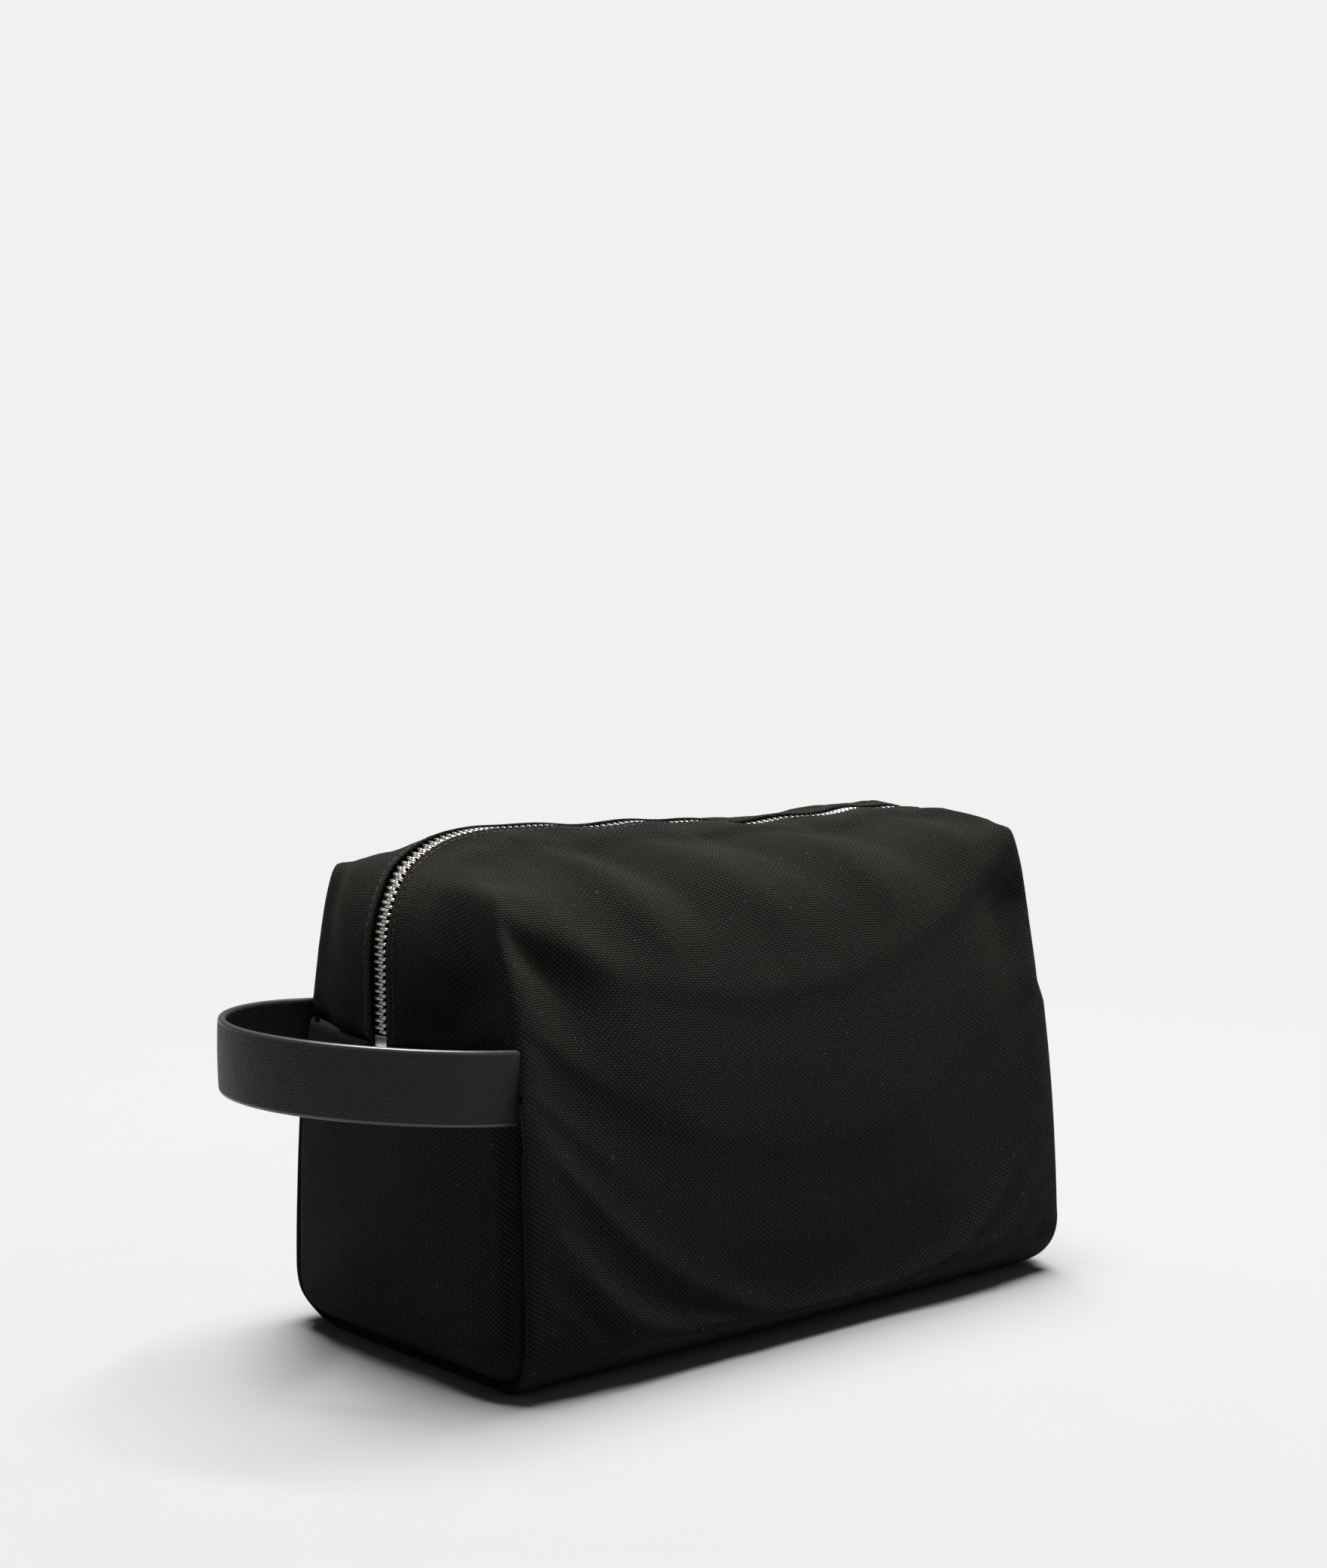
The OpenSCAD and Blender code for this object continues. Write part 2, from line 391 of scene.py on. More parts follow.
@dataclass(frozen=True)
class WovenCloth:
    """A plain weave: threads pass over and under each other in a chequer of small humps."""

    name: str
    warp: float  # distance between neighbouring warp threads
    filling: float  # distance between neighbouring weft threads
    relief: float  # height of a thread's hump
    # colour of the low weft and the gaps between the threads: painted shade
    dark: Colour
    # colour of the warp's humps, the cloth's own colour
    light: Colour
    weft: float = 0.5  # height of the weft's humps beside the warp's
    fuzz: float = 0.08
    roughness: float = 0.85

    def material(self) -> Material:
        """Builds the material."""
        n = Nodes(self.name)
        across, along, _ = n.split(n.cloth())
        drift = n.math("SUBTRACT", n.noise(n.cloth(), 160.0, 2.0), 0.5)
        wander = n.math("MULTIPLY", drift, self.warp * 0.9)
        lines = n.math("SINE", n.math("MULTIPLY", n.math("ADD", across, wander), math.pi / self.warp))
        rows = n.math("SINE", n.math("MULTIPLY", n.math("ADD", along, wander), math.pi / self.filling))
        over = n.math("GREATER_THAN", n.math("MULTIPLY", lines, rows), 0.0)
        a, b = n.math("ABSOLUTE", lines), n.math("ABSOLUTE", rows)
        # the warp's humps stand high and catch the light, the weft's sit low between them; the colour
        # follows this height too, so painted shade darkens the low weft and the gaps between the threads
        warp_hump = n.math("MULTIPLY", n.math("POWER", a, 0.7), n.math("POWER", b, 0.7))
        weft_hump = n.math("MULTIPLY", n.math("POWER", a, 0.5), n.math("POWER", b, 0.8))
        high = n.math("MULTIPLY", warp_hump, over)
        low = n.math("MULTIPLY", n.math("MULTIPLY", weft_hump, self.weft), n.math("SUBTRACT", 1.0, over))
        height = n.math("ADD", high, low)
        slub = n.noise(n.cloth(), 420.0, 3.0)
        tone = n.noise(n.place(), 14.0, 4.0, 0.6)
        uneven = n.math("MULTIPLY", height, n.math("MULTIPLY_ADD", slub, 1.1, 0.45))
        # painted shade: the colour runs from the dark colour in the low weave to the thread colour on the
        # warp's humps
        weave_tone_with_painted_shade = n.ramp(uneven, (0.36, self.dark), (1.05, self.light))
        pale = tuple(1.5 * c for c in self.light)
        worn = n.mix(n.math("MULTIPLY", tone, 0.22), weave_tone_with_painted_shade, pale)
        lint = n.math("GREATER_THAN", n.noise(n.place(), 700.0, 0.0), 0.835)
        fleck = n.mix(n.math("MULTIPLY", lint, 0.18), worn, (0.16, 0.15, 0.14))
        rough = n.math("ADD", n.math("MULTIPLY", slub, 0.12), self.roughness - 0.06)
        full = n.math("ADD", height, n.math("MULTIPLY", slub, 0.35))
        n.set(
            Base_Color=fleck,
            Roughness=rough,
            Specular_IOR_Level=0.05,
            Sheen_Weight=self.fuzz,
            Sheen_Roughness=0.45,
            Sheen_Tint=(0.60, 0.57, 0.50),
            Normal=n.bump(full, self.relief),
        )
        return n.material


@dataclass(frozen=True)
class PebbledLeather:
    """Black leather with a fine rounded grain."""

    name: str
    colour: Colour
    pebble: float  # width of one grain

    def material(self) -> Material:
        """Builds the material."""
        n = Nodes(self.name)
        where = n.cloth()
        cells = n.add("TexVoronoi", feature="DISTANCE_TO_EDGE")
        # the grains' places are stirred, so that they lie in no rows
        drift = n.add("TexNoise")
        n.put(drift.inputs["Vector"], where)
        n.put(drift.inputs["Scale"], 260.0)
        scale = n.add("VectorMath", operation="SCALE")
        n.put(scale.inputs[0], drift.outputs["Color"])
        n.put(scale.inputs["Scale"], self.pebble * 0.9)
        stir = n.add("VectorMath", operation="ADD")
        n.put(stir.inputs[0], where)
        n.put(stir.inputs[1], scale.outputs[0])
        n.put(cells.inputs["Vector"], stir.outputs[0])
        n.put(cells.inputs["Scale"], 1.0 / self.pebble)
        dome = n.math("POWER", n.math("MULTIPLY", cells.outputs["Distance"], 2.4, clamp=True), 0.5)
        fine = n.noise(where, 2600.0, 3.0)
        tone = n.noise(n.place(), 40.0, 3.0)
        height = n.math("ADD", dome, n.math("MULTIPLY", fine, 0.18))
        pale = tuple(1.35 * c for c in self.colour)
        dull = n.math("MULTIPLY_ADD", tone, 0.1, 0.52)
        n.set(
            Base_Color=n.mix(tone, self.colour, pale),
            Roughness=n.math("SUBTRACT", dull, n.math("MULTIPLY", dome, 0.12)),
            Specular_IOR_Level=0.30,
            Normal=n.bump(height, self.pebble * 0.16),
        )
        return n.material


@dataclass(frozen=True)
class EdgePaint:
    """The smooth, slightly glossy paint on a strap's cut edges."""

    name: str
    colour: Colour

    def material(self) -> Material:
        """Builds the material."""
        n = Nodes(self.name)
        ripple = n.noise(n.place(), 330.0, 3.0)
        n.set(
            Base_Color=n.mix(ripple, self.colour, tuple(1.4 * c for c in self.colour)),
            Roughness=n.math("MULTIPLY_ADD", ripple, 0.14, 0.3),
            Coat_Weight=0.25,
            Coat_Roughness=0.3,
            Normal=n.bump(ripple, 0.00012),
        )
        return n.material


@dataclass(frozen=True)
class PlatedMetal:
    """Polished nickel plate with fine wear."""

    name: str
    colour: Colour
    roughness: float

    def material(self) -> Material:
        """Builds the material."""
        n = Nodes(self.name)
        cloud = n.noise(n.place(), 300.0, 4.0)
        scratch = n.add("Mapping")
        n.put(scratch.inputs["Vector"], n.place())
        n.put(scratch.inputs["Scale"], (1.0, 1.0, 0.12))
        lines = n.noise(scratch.outputs[0], 4200.0, 2.0)
        dull = tuple(0.72 * c for c in self.colour)
        n.set(
            Base_Color=n.mix(n.math("MULTIPLY", cloud, 0.6), self.colour, dull),
            Metallic=1.0,
            Roughness=n.math("ADD", n.math("MULTIPLY", lines, 0.12), self.roughness - 0.06),
            Normal=n.bump(n.math("ADD", lines, cloud), 0.00002),
        )
        return n.material


@dataclass(frozen=True)
class SewingThread:
    """Twisted polyester thread, with its ply running along the stitch."""

    name: str
    colour: Colour

    def material(self) -> Material:
        """Builds the material."""
        n = Nodes(self.name)
        x, y, z = n.split(n.place())
        lay = n.math("SINE", n.math("MULTIPLY", n.math("ADD", n.math("ADD", x, y), z), 14000.0))
        fibre = n.noise(n.place(), 5200.0, 2.0)
        n.set(
            Base_Color=n.mix(fibre, self.colour, tuple(1.8 * c for c in self.colour)),
            Roughness=n.math("MULTIPLY_ADD", fibre, 0.2, 0.5),
            Specular_IOR_Level=0.4,
            Normal=n.bump(lay, 0.00005),
        )
        return n.material


@dataclass
class Palette:
    """Every finish on the bag, by use."""

    canvas: Material = field(init=False)
    lining: Material = field(init=False)
    tape: Material = field(init=False)
    metal: Material = field(init=False)
    leather: Material = field(init=False)
    edge: Material = field(init=False)
    thread: Material = field(init=False)

    def __post_init__(self) -> None:
        """Builds the materials."""
        self.canvas = WovenCloth(
            name="canvas",
            warp=0.00102,
            filling=0.00090,
            relief=0.00095,
            dark=(0.0001, 0.0001, 0.0001),
            light=(0.0220, 0.0209, 0.0174),
            weft=0.30,
        ).material()
        self.lining = WovenCloth(
            name="lining",
            warp=0.00045,
            filling=0.00045,
            relief=0.00006,
            dark=(0.020, 0.018, 0.016),
            light=(0.040, 0.037, 0.034),
            fuzz=0.15,
            roughness=0.6,
        ).material()
        self.tape = WovenCloth(
            name="zip_tape",
            warp=0.0006,
            filling=0.0006,
            relief=0.00012,
            dark=(0.0030, 0.0030, 0.0030),
            light=(0.010, 0.010, 0.010),
            fuzz=0.1,
            roughness=0.75,
        ).material()
        self.metal = PlatedMetal("nickel", (0.86, 0.83, 0.78), 0.30).material()
        self.leather = PebbledLeather("strap_leather", (0.0052, 0.0051, 0.0049), 0.0011).material()
        self.edge = EdgePaint("strap_edge_paint", (0.018, 0.018, 0.018)).material()
        self.thread = SewingThread("sewing_thread", (0.006, 0.006, 0.006)).material()


# ---- Shape of the body ----


@dataclass
class BodyShape:
    """The sewn body's sizes, taken from the frame, and the surfaces that its pieces follow."""

    end_x: float = field(init=False)  # middle of the lower end panels
    zip_x: float = field(init=False)  # upper end flaps, beside the zip
    seam_z: float = field(init=False)  # top of the lower end panels, where the halves turn
    crest: float = field(init=False)
    crease_x: float = 0.1252  # corner creases
    corner_z: float = 0.1670  # pinched top corners
    base_half: float = 0.0675  # half the depth of the lower body
    top_half: float = 0.0448  # half the depth at the top corners
    base_round: float = 0.0200
    zip_edge: float = 0.0042  # from the middle plane to the canvas edge beside the zip
    zip_round: float = 0.0370
    corner_run: float = 0.0240  # stretch of cloth that turns a top corner
    low: float = 0.1060  # where the upper halves' end flaps start

    def __post_init__(self) -> None:
        """Reads the sizes that the frame holds."""
        self.end_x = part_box("body_wrap")[1][0] + 0.0002
        self.zip_x = self.end_x - 0.0010
        self.seam_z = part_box("body_wrap")[1][2]
        self.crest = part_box("front_upper_panel")[1][2] + 0.0012

    def wall_half(
        self, z: np.ndarray | float, side: np.ndarray | float, x: np.ndarray | float
    ) -> np.ndarray | float:
        """Distance of a wall from the middle plane at a height, before the base is rounded.

        Args:
            z: Heights.
            side: Below 0 for the front wall and above 0 for the back wall.
            x: Place along the bag; the front wall stands fuller at the near end.

        Returns:
            The distance, always positive.
        """
        share = np.clip(np.asarray(z) / self.corner_z, 0.0, 1.1)
        power = np.where(np.asarray(side) < 0, 2.65 - 0.65 * np.asarray(x) / self.crease_x, 2.4)
        return self.top_half + (self.base_half - self.top_half) * (1.0 - share**power)

    @staticmethod
    def drawn_under(z: float) -> float:
        """How far a corner draws in towards the base at a height."""
        return 0.0030 * float(smoothstep((0.012 - z) / 0.012))

    @property
    def round_y(self) -> float:
        """Where the flat of the base gives way to its rounded edge."""
        return float(self.wall_half(self.base_round, 1, 0.0)) - self.base_round

    def sway(self, x: np.ndarray, z: np.ndarray) -> tuple[np.ndarray, np.ndarray]:
        """How far the zip's line strays from a straight one.

        Args:
            x: Places along the bag.
            z: Heights.

        Returns:
            The shift along Y and the shift along Z.
        """
        fade = smoothstep((0.108 - np.abs(x)) / 0.03)
        across = 0.0016 * np.sin(2 * np.pi * x / 0.098 + 0.7) + 0.0008 * np.sin(2 * np.pi * x / 0.043 + 1.9)
        ripple = 0.0008 * np.sin(2 * np.pi * x / 0.083 + 2.4) + 0.0005 * np.sin(2 * np.pi * x / 0.037)
        # the near end stands fuller than the far end
        tilt = -0.0043 * np.tanh((x + 0.020) / 0.045) * (z - self.low) / (self.crest - self.low)
        return across * fade, ripple * fade + tilt

    def roof(
        self, out: float, columns: tuple[int, int, int], low: float, deep: float = 0.0
    ) -> tuple[np.ndarray, ...]:
        """A line from one end of the zip over the top to the other, part way out to the corners.

        Args:
            out: 0 beside the zip, 1 at the shoulder.
            columns: Number of steps up an end, round its curve and along the top.
            low: Height that the line starts and stops at.
            deep: Depth below the cloth's outer face.

        Returns:
            X, the sideways shift, Z, and the outward X and Z.
        """
        rise, turn, top = columns
        # each end flap is full beside the zip and hollow beside its crease
        hollow = 0.0030 * math.exp(-(((out - 0.76) / 0.16) ** 2))
        end = self.zip_x - (self.zip_x - self.crease_x) * out**2 - hollow
        height = self.crest - (self.crest - self.corner_z) * out**1.35
        radius = self.zip_round + (self.corner_run - self.zip_round) * out
        straight = end - radius
        z_up = low + (height - radius - low) * np.arange(rise) / rise
        angle = 0.5 * np.pi * np.arange(turn) / turn
        # a round turn beside the zip sharpens to a square corner at the crease
        square = 0.12 + 0.8 * out**1.5
        step = 2 * np.arange(turn) / turn
        turn_x = (1 - square) * np.cos(angle) + square * np.clip(2 - step, 0.0, 1.0)
        turn_z = (1 - square) * np.sin(angle) + square * np.clip(step, 0.0, 1.0)
        x = np.concatenate([np.full(rise, -end), -straight - radius * turn_x])
        z = np.concatenate([z_up, height - radius + radius * turn_z])
        out_x = np.concatenate([np.full(rise, -1.0), -np.cos(angle)])
        out_z = np.concatenate([np.zeros(rise), np.sin(angle)])
        top_x = np.linspace(-straight, straight, top + 1)
        x = np.concatenate([x, top_x, -x[::-1]])
        z = np.concatenate([z, np.full(top + 1, height), z[::-1]])
        out_x = np.concatenate([out_x, np.zeros(top + 1), -out_x[::-1]])
        out_z = np.concatenate([out_z, np.ones(top + 1), out_z[::-1]])
        across, up = self.sway(x, z)
        near_zip = (1.0 - out) ** 2
        tuck = smoothstep((0.1125 - z) / 0.0055) * 0.0030 * (1 - out**8)
        x = x - np.sign(x) * tuck - deep * out_x
        return x, across * near_zip, z + up * near_zip - deep * out_z, out_x, out_z


@dataclass
class Sheet:
    """A sheet of cloth made of grids of points that share their borders."""

    points: np.ndarray
    grids: list[np.ndarray]
    flips: list[bool]
    flat: list[np.ndarray] = field(default_factory=list)

    @classmethod
    def of_grid(cls, points: np.ndarray, flip: bool, down: float = 0.0) -> Sheet:
        """Makes a sheet of one grid of points.

        Args:
            points: The points, by row and column.
            flip: Turns the faces the other way.
            down: Place of the first row on the flat cloth.

        Returns:
            The sheet, with its places on the flat cloth measured along the grid.
        """
        grid = np.arange(points.shape[0] * points.shape[1]).reshape(points.shape[:2])
        flat = np.stack([run_across(points, points.shape[1] // 2), down + run_down(points)], 2)
        return cls(points.reshape(-1, 3), [grid], [flip], [flat])

    def corners(self, values: list[np.ndarray]) -> np.ndarray:
        """Spreads values at each grid's points to the corners of every face, grid by grid."""
        parts = []
        for grid, flip, value in zip(self.grids, self.flips, values):
            part = value[quad_faces(*grid.shape)]
            parts.append(part[:, ::-1] if flip else part)
        return np.concatenate(parts)

    @property
    def faces(self) -> np.ndarray:
        """Every face of the sheet."""
        return self.corners([grid.ravel() for grid in self.grids])

    def corner_places(self) -> np.ndarray:
        """Place on the flat cloth of every face's corners."""
        return self.corners([flat.reshape(-1, 2) for flat in self.flat])

    def normals(self) -> np.ndarray:
        """Outward direction at every point."""
        faces = self.faces
        a, b, c, d = (self.points[faces[:, k]] for k in range(4))
        flat = np.cross(c - a, d - b)
        total = np.zeros_like(self.points)
        for k in range(4):
            np.add.at(total, faces[:, k], flat)
        return total / np.maximum(np.linalg.norm(total, axis=1), 1e-12)[:, None]

    def make(self, name: str) -> Piece:
        """Makes the sheet into an object, with its places on the flat cloth."""
        return make_object(name, self.points, self.faces, self.corner_places() if self.flat else None)


def run_across(points: np.ndarray, middle: int) -> np.ndarray:
    """Distance along each row of a grid of points, from its middle column."""
    step = np.linalg.norm(np.diff(points, axis=1), axis=2)
    run = np.concatenate([np.zeros((len(points), 1)), np.cumsum(step, axis=1)], axis=1)
    return run - run[:, middle : middle + 1]


def run_down(points: np.ndarray) -> np.ndarray:
    """Distance down each column of a grid of points, from its first row."""
    step = np.linalg.norm(np.diff(points, axis=0), axis=2)
    return np.concatenate([np.zeros((1, points.shape[1])), np.cumsum(step, axis=0)])


@dataclass(frozen=True)
class Fold:
    """A soft ridge or hollow in the cloth, along a straight line on the flat cloth."""

    start: tuple[float, float]
    end: tuple[float, float]
    width: float
    height: float

    def lift(self, flat: np.ndarray) -> np.ndarray:
        """How far the fold lifts the cloth at each place on it."""
        a, b = np.array(self.start), np.array(self.end)
        run = b - a
        along = np.clip((flat - a) @ run / (run @ run), 0.0, 1.0)
        off = np.linalg.norm(flat - a - along[:, None] * run, axis=1)
        swell = 0.35 + 0.65 * np.sin(np.pi * (0.1 + 0.8 * along))
        return self.height * np.exp(-((off / self.width) ** 2)) * swell


def settle(sheet: Sheet, pins: np.ndarray, extra: float, frames: int, cap: float) -> None:
    """Lets a sheet sag and wrinkle as cloth does, held at its pinned points.

    Args:
        sheet: The sheet, moved in place.
        pins: How firmly each point is held, from 0 to 1.
        extra: How much larger the cut cloth is than the shape, as a share.
        frames: Number of frames to run.
        cap: The furthest that any point may move.
    """
    piece = make_object("settling", sheet.points, sheet.faces)
    group = piece.vertex_groups.new(name="pins")
    for index, weight in enumerate(pins):
        group.add([index], float(weight), "REPLACE")
    modifier = piece.modifiers.new("cloth", "CLOTH")
    cloth = modifier.settings
    cloth.quality = 5
    cloth.mass = 0.35
    cloth.tension_stiffness = cloth.compression_stiffness = 40.0
    cloth.shear_stiffness = 20.0
    cloth.bending_stiffness = 3.0
    cloth.tension_damping = cloth.compression_damping = 15.0
    cloth.vertex_group_mass = "pins"
    cloth.pin_stiffness = 1.0
    cloth.shrink_min = -extra
    cloth.use_pressure = True
    cloth.uniform_pressure_force = 0.4
    modifier.collision_settings.use_collision = False
    scene = bpy.context.scene
    modifier.point_cache.frame_start = 1
    modifier.point_cache.frame_end = frames
    for number in range(1, frames + 1):
        scene.frame_set(number)
    graph = bpy.context.evaluated_depsgraph_get()
    moved = np.empty(3 * len(sheet.points))
    piece.evaluated_get(graph).data.vertices.foreach_get("co", moved)
    shift = moved.reshape(-1, 3) - sheet.points
    size = np.linalg.norm(shift, axis=1)
    log.info("cloth moved up to %.1f mm", 1000 * size.max())
    soft = cap * np.tanh(size / cap) / np.maximum(size, 1e-9)
    sheet.points = sheet.points + shift * soft[:, None]
    scene.frame_set(1)
    bpy.data.objects.remove(piece)


# ---- Canvas ----

# Ridges and hollows of the front's cloth, along the bag and down from the zip
FRONT_FOLDS = (
    Fold((-0.085, 0.010), (-0.055, 0.060), 0.008, 0.0024),
    Fold((-0.066, 0.008), (-0.036, 0.052), 0.007, -0.0022),
    Fold((-0.044, 0.008), (-0.004, 0.054), 0.009, 0.0023),
    Fold((-0.010, 0.008), (0.022, 0.046), 0.007, -0.0018),
    Fold((0.016, 0.008), (0.052, 0.052), 0.009, 0.0020),
    Fold((0.046, 0.008), (0.080, 0.050), 0.008, -0.0020),
    Fold((0.076, 0.008), (0.104, 0.046), 0.008, 0.0020),
    Fold((-0.121, 0.050), (-0.098, 0.084), 0.008, -0.0034),
    Fold((-0.110, 0.044), (-0.080, 0.076), 0.008, 0.0022),
    Fold((-0.108, 0.096), (-0.070, 0.140), 0.016, -0.0014),
    Fold((0.118, 0.056), (0.112, 0.078), 0.011, -0.0045),
    Fold((0.096, 0.080), (0.112, 0.150), 0.016, 0.0014),
    Fold((-0.030, 0.150), (0.060, 0.165), 0.020, -0.0010),
    Fold((0.070, 0.176), (0.112, 0.196), 0.012, 0.0016),
    Fold((-0.160, 0.040), (-0.182, 0.016), 0.008, -0.0022),
    Fold((-0.148, 0.022), (-0.168, 0.034), 0.008, 0.0016),
)
BACK_FOLDS = (
    Fold((0.070, 0.008), (0.046, 0.052), 0.009, 0.0022),
    Fold((0.050, 0.008), (0.022, 0.044), 0.007, -0.0018),
    Fold((0.024, 0.008), (0.000, 0.048), 0.008, 0.0020),
    Fold((-0.010, 0.008), (-0.046, 0.050), 0.009, -0.0018),
    Fold((-0.050, 0.008), (-0.080, 0.050), 0.008, 0.0022),
    Fold((-0.084, 0.008), (-0.106, 0.046), 0.008, -0.0018),
    Fold((0.116, 0.060), (0.090, 0.094), 0.010, -0.0026),
    Fold((0.100, 0.060), (0.070, 0.130), 0.016, -0.0014),
    Fold((-0.100, 0.080), (-0.060, 0.150), 0.016, 0.0013),
    Fold((-0.164, 0.036), (-0.184, 0.020), 0.008, -0.0018),
)


@dataclass
class CanvasSide:
    """One side's outer canvas: its half of the roof and ends, its wall, and half of the base."""

    shape: BodyShape
    side: Side
    folds: tuple[Fold, ...]
    columns: tuple[int, int, int] = (13, 12, 76)
    thick: float = 0.0012
    sheet: Sheet = field(init=False)
    roof: np.ndarray = field(init=False)
    wall: np.ndarray = field(init=False)

    # distance of each line of the roof from the canvas edge beside the zip, at the crest
    ROOF_LINES = (
        *(0.0, 0.0013, 0.0028, 0.0045, 0.0070, 0.0100, 0.0132, 0.0165),
        *(0.0198, 0.0232, 0.0266, 0.0300, 0.0335, 0.0370, 0.0408),
    )
    STITCH_LINE = 2  # the roof line that the topstitching follows
    LINING_DEEP = 0.0034  # how far the lining lies behind the canvas
    LINING_EDGE = 0.0055  # how near the lining comes to the zip's middle
    PUFF = 0.0062  # how far a wall's middle stands out past its corners
    # the wrap's lines past the crease: how far out, and how deep into the seam
    WRAP_LINES = ((0.0012, 0.0015), (0.0008, 0.0032), (-0.0030, 0.0042))

    def __post_init__(self) -> None:
        """Lays the sheet out, rounds it and lets it settle."""
        self.lay_out()
        self.soften()

    @property
    def edge(self) -> int:
        """Number of wall rows that lie beside the roof's ends."""
        return self.columns[0] + self.columns[1] // 2

    def lay_roof(self) -> np.ndarray:
        """Points of the roof and the two end flaps, from the zip outwards."""
        shape, sign = self.shape, self.side.value
        rows = []
        for line in self.ROOF_LINES:
            out = line / self.ROOF_LINES[-1]
            x, across, z, out_x, out_z = shape.roof(out, self.columns, shape.low)
            y = sign * (shape.zip_edge + out * (shape.wall_half(z, sign, x) - shape.zip_edge)) + across
            # the seam allowance is folded under: a low ridge with the stitches sunk beside it
            ridge = 0.0003 * bump_at(line, 0.0013, 0.0009) - 0.0003 * bump_at(line, 0.0028, 0.0008)
            rows.append(np.stack([x + ridge * out_x, y, z + ridge * out_z], 1))
        return np.stack(rows)

    def wall_profile(self) -> tuple[np.ndarray, np.ndarray, np.ndarray]:
        """The wall's line from the shoulder down and under the base.

        Returns:
            Half depth and height of each row, and the inward direction as (sideways, up).
        """
        shape = self.shape
        high = np.linspace(shape.corner_z, shape.low, self.edge + 1)
        straight = np.linspace(shape.low, shape.base_round, 28)[1:]
        walls = np.concatenate([high, straight])
        turn = np.linspace(0.0, -np.pi / 2, 11)[1:]
        base = np.linspace(shape.round_y, 0.0, 15)[1:]
        beside = shape.wall_half(walls, self.side.value, 0.0)
        half = np.concatenate([beside, shape.round_y + shape.base_round * np.cos(turn), base])
        z = np.concatenate([walls, shape.base_round * (1 + np.sin(turn)), np.zeros(len(base))])
        angle = np.concatenate([np.zeros(len(walls)), turn, np.full(len(base), -np.pi / 2)])
        return half, z, np.stack([-np.cos(angle), -np.sin(angle)], 1)

    def lay_out(self) -> None:
        """Builds the grids of the roof, the wall and the wraps round the two upright corners."""
        shape, sign = self.shape, self.side.value
        roof_points = self.lay_roof()
        lines, count = roof_points.shape[:2]
        roof = np.arange(lines * count).reshape(lines, count)
        points = list(roof_points.reshape(-1, 3))

        profile = self.wall_profile()
        half, z, _ = profile
        outer = roof_points[-1]
        last = count - 1 - self.edge
        wall = np.zeros((len(half), last - self.edge + 1), int)
        across = outer[self.edge : last + 1, 0] / abs(outer[self.edge, 0])
        for row in range(len(half)):
            beside = row <= self.edge
            edge_x = abs(outer[self.edge - row, 0]) if beside else shape.crease_x
            edge_z = outer[self.edge - row, 2] if beside else z[row]
            under = shape.drawn_under(z[row])
            for column, t in enumerate(across):
                if row == 0:
                    wall[row, column] = roof[-1, self.edge + column]
                    continue
                if beside and column in (0, len(across) - 1):
                    wall[row, column] = roof[-1, self.edge - row if column == 0 else last + row]
                    continue
                here_z = z[row] + (edge_z - z[row]) * abs(t) ** 5
                here_half = half[row]
                if here_z > shape.base_round:
                    here_half = float(shape.wall_half(here_z, sign, t * edge_x))
                share = min(max(here_z / shape.corner_z, 0.0), 1.0)
                puff = self.PUFF * (1 - abs(t) ** 3.4) * min(1.0, here_z / 0.045) ** 0.8 * (1 - share**4)
                wall[row, column] = len(points)
                points.append(np.array([t * (edge_x - under), sign * (here_half + puff), here_z]))

        grids, flips = [roof, wall], [sign > 0, sign > 0]
        for end in End:
            wrap, more = self.lay_wrap(end, roof, wall, profile, len(points))
            points.extend(more)
            grids.append(wrap)
            flips.append((sign > 0) != (end is End.NEAR))
        self.roof, self.wall = roof, wall
        self.sheet = Sheet(np.array(points), grids, flips)

    def lay_wrap(
        self,
        end: End,
        roof: np.ndarray,
        wall: np.ndarray,
        profile: tuple[np.ndarray, np.ndarray, np.ndarray],
        first: int,
    ) -> tuple[np.ndarray, list[np.ndarray]]:
        """Carries the wall round an upright corner and tucks it into the seam.

        Args:
            end: Which corner.
            roof: Point indices of the roof.
            wall: Point indices of the wall.
            profile: The wall's half depths, heights and inward directions.
            first: Index that the next new point gets.

        Returns:
            Point indices of the wrap, and its new points.
        """
        half, z, inward = profile
        sign, column, steps = self.side.value, (0 if end is End.NEAR else -1), self.WRAP_LINES
        rows = len(half) - self.edge
        wrap = np.zeros((rows, len(steps) + 1), int)
        wrap[:, 0] = wall[self.edge :, column]
        wrap[0, 1:] = [roof[-2 - k, column] for k in range(len(steps))]
        more: list[np.ndarray] = []
        for row in range(1, rows):
            r = row + self.edge
            under = self.shape.drawn_under(z[r])
            # the near seams are pinched flat where the strap is sewn in
            held = float(smoothstep((z[r] - 0.078) / 0.014)) if end is End.NEAR else 0.0
            for k, (out, deep) in enumerate(steps):
                out = out if out < 0 else out * (1 - 1.4 * held)
                deep = deep * (1 - 0.75 * held)
                x = end.value * (self.shape.crease_x - under + out)
                side = half[r]
                if z[r] > self.shape.base_round:
                    side = float(self.shape.wall_half(z[r], sign, x))
                wrap[row, k + 1] = first + len(more)
                more.append(np.array([x, sign * (side + inward[r, 0] * deep), z[r] + inward[r, 1] * deep]))
        return wrap, more

    def soften(self) -> None:
        """Rounds the shoulder, adds the folds and lets the cloth settle."""
        sheet, shape = self.sheet, self.shape
        points = sheet.points
        fixed = np.zeros(len(points), bool)
        fixed[self.roof[:3].ravel()] = True
        fixed[self.roof[:, [0, -1]].ravel()] = True
        fixed[self.wall[-1]] = True
        for wrap in sheet.grids[2:]:
            fixed[wrap[:, 1:].ravel()] = True
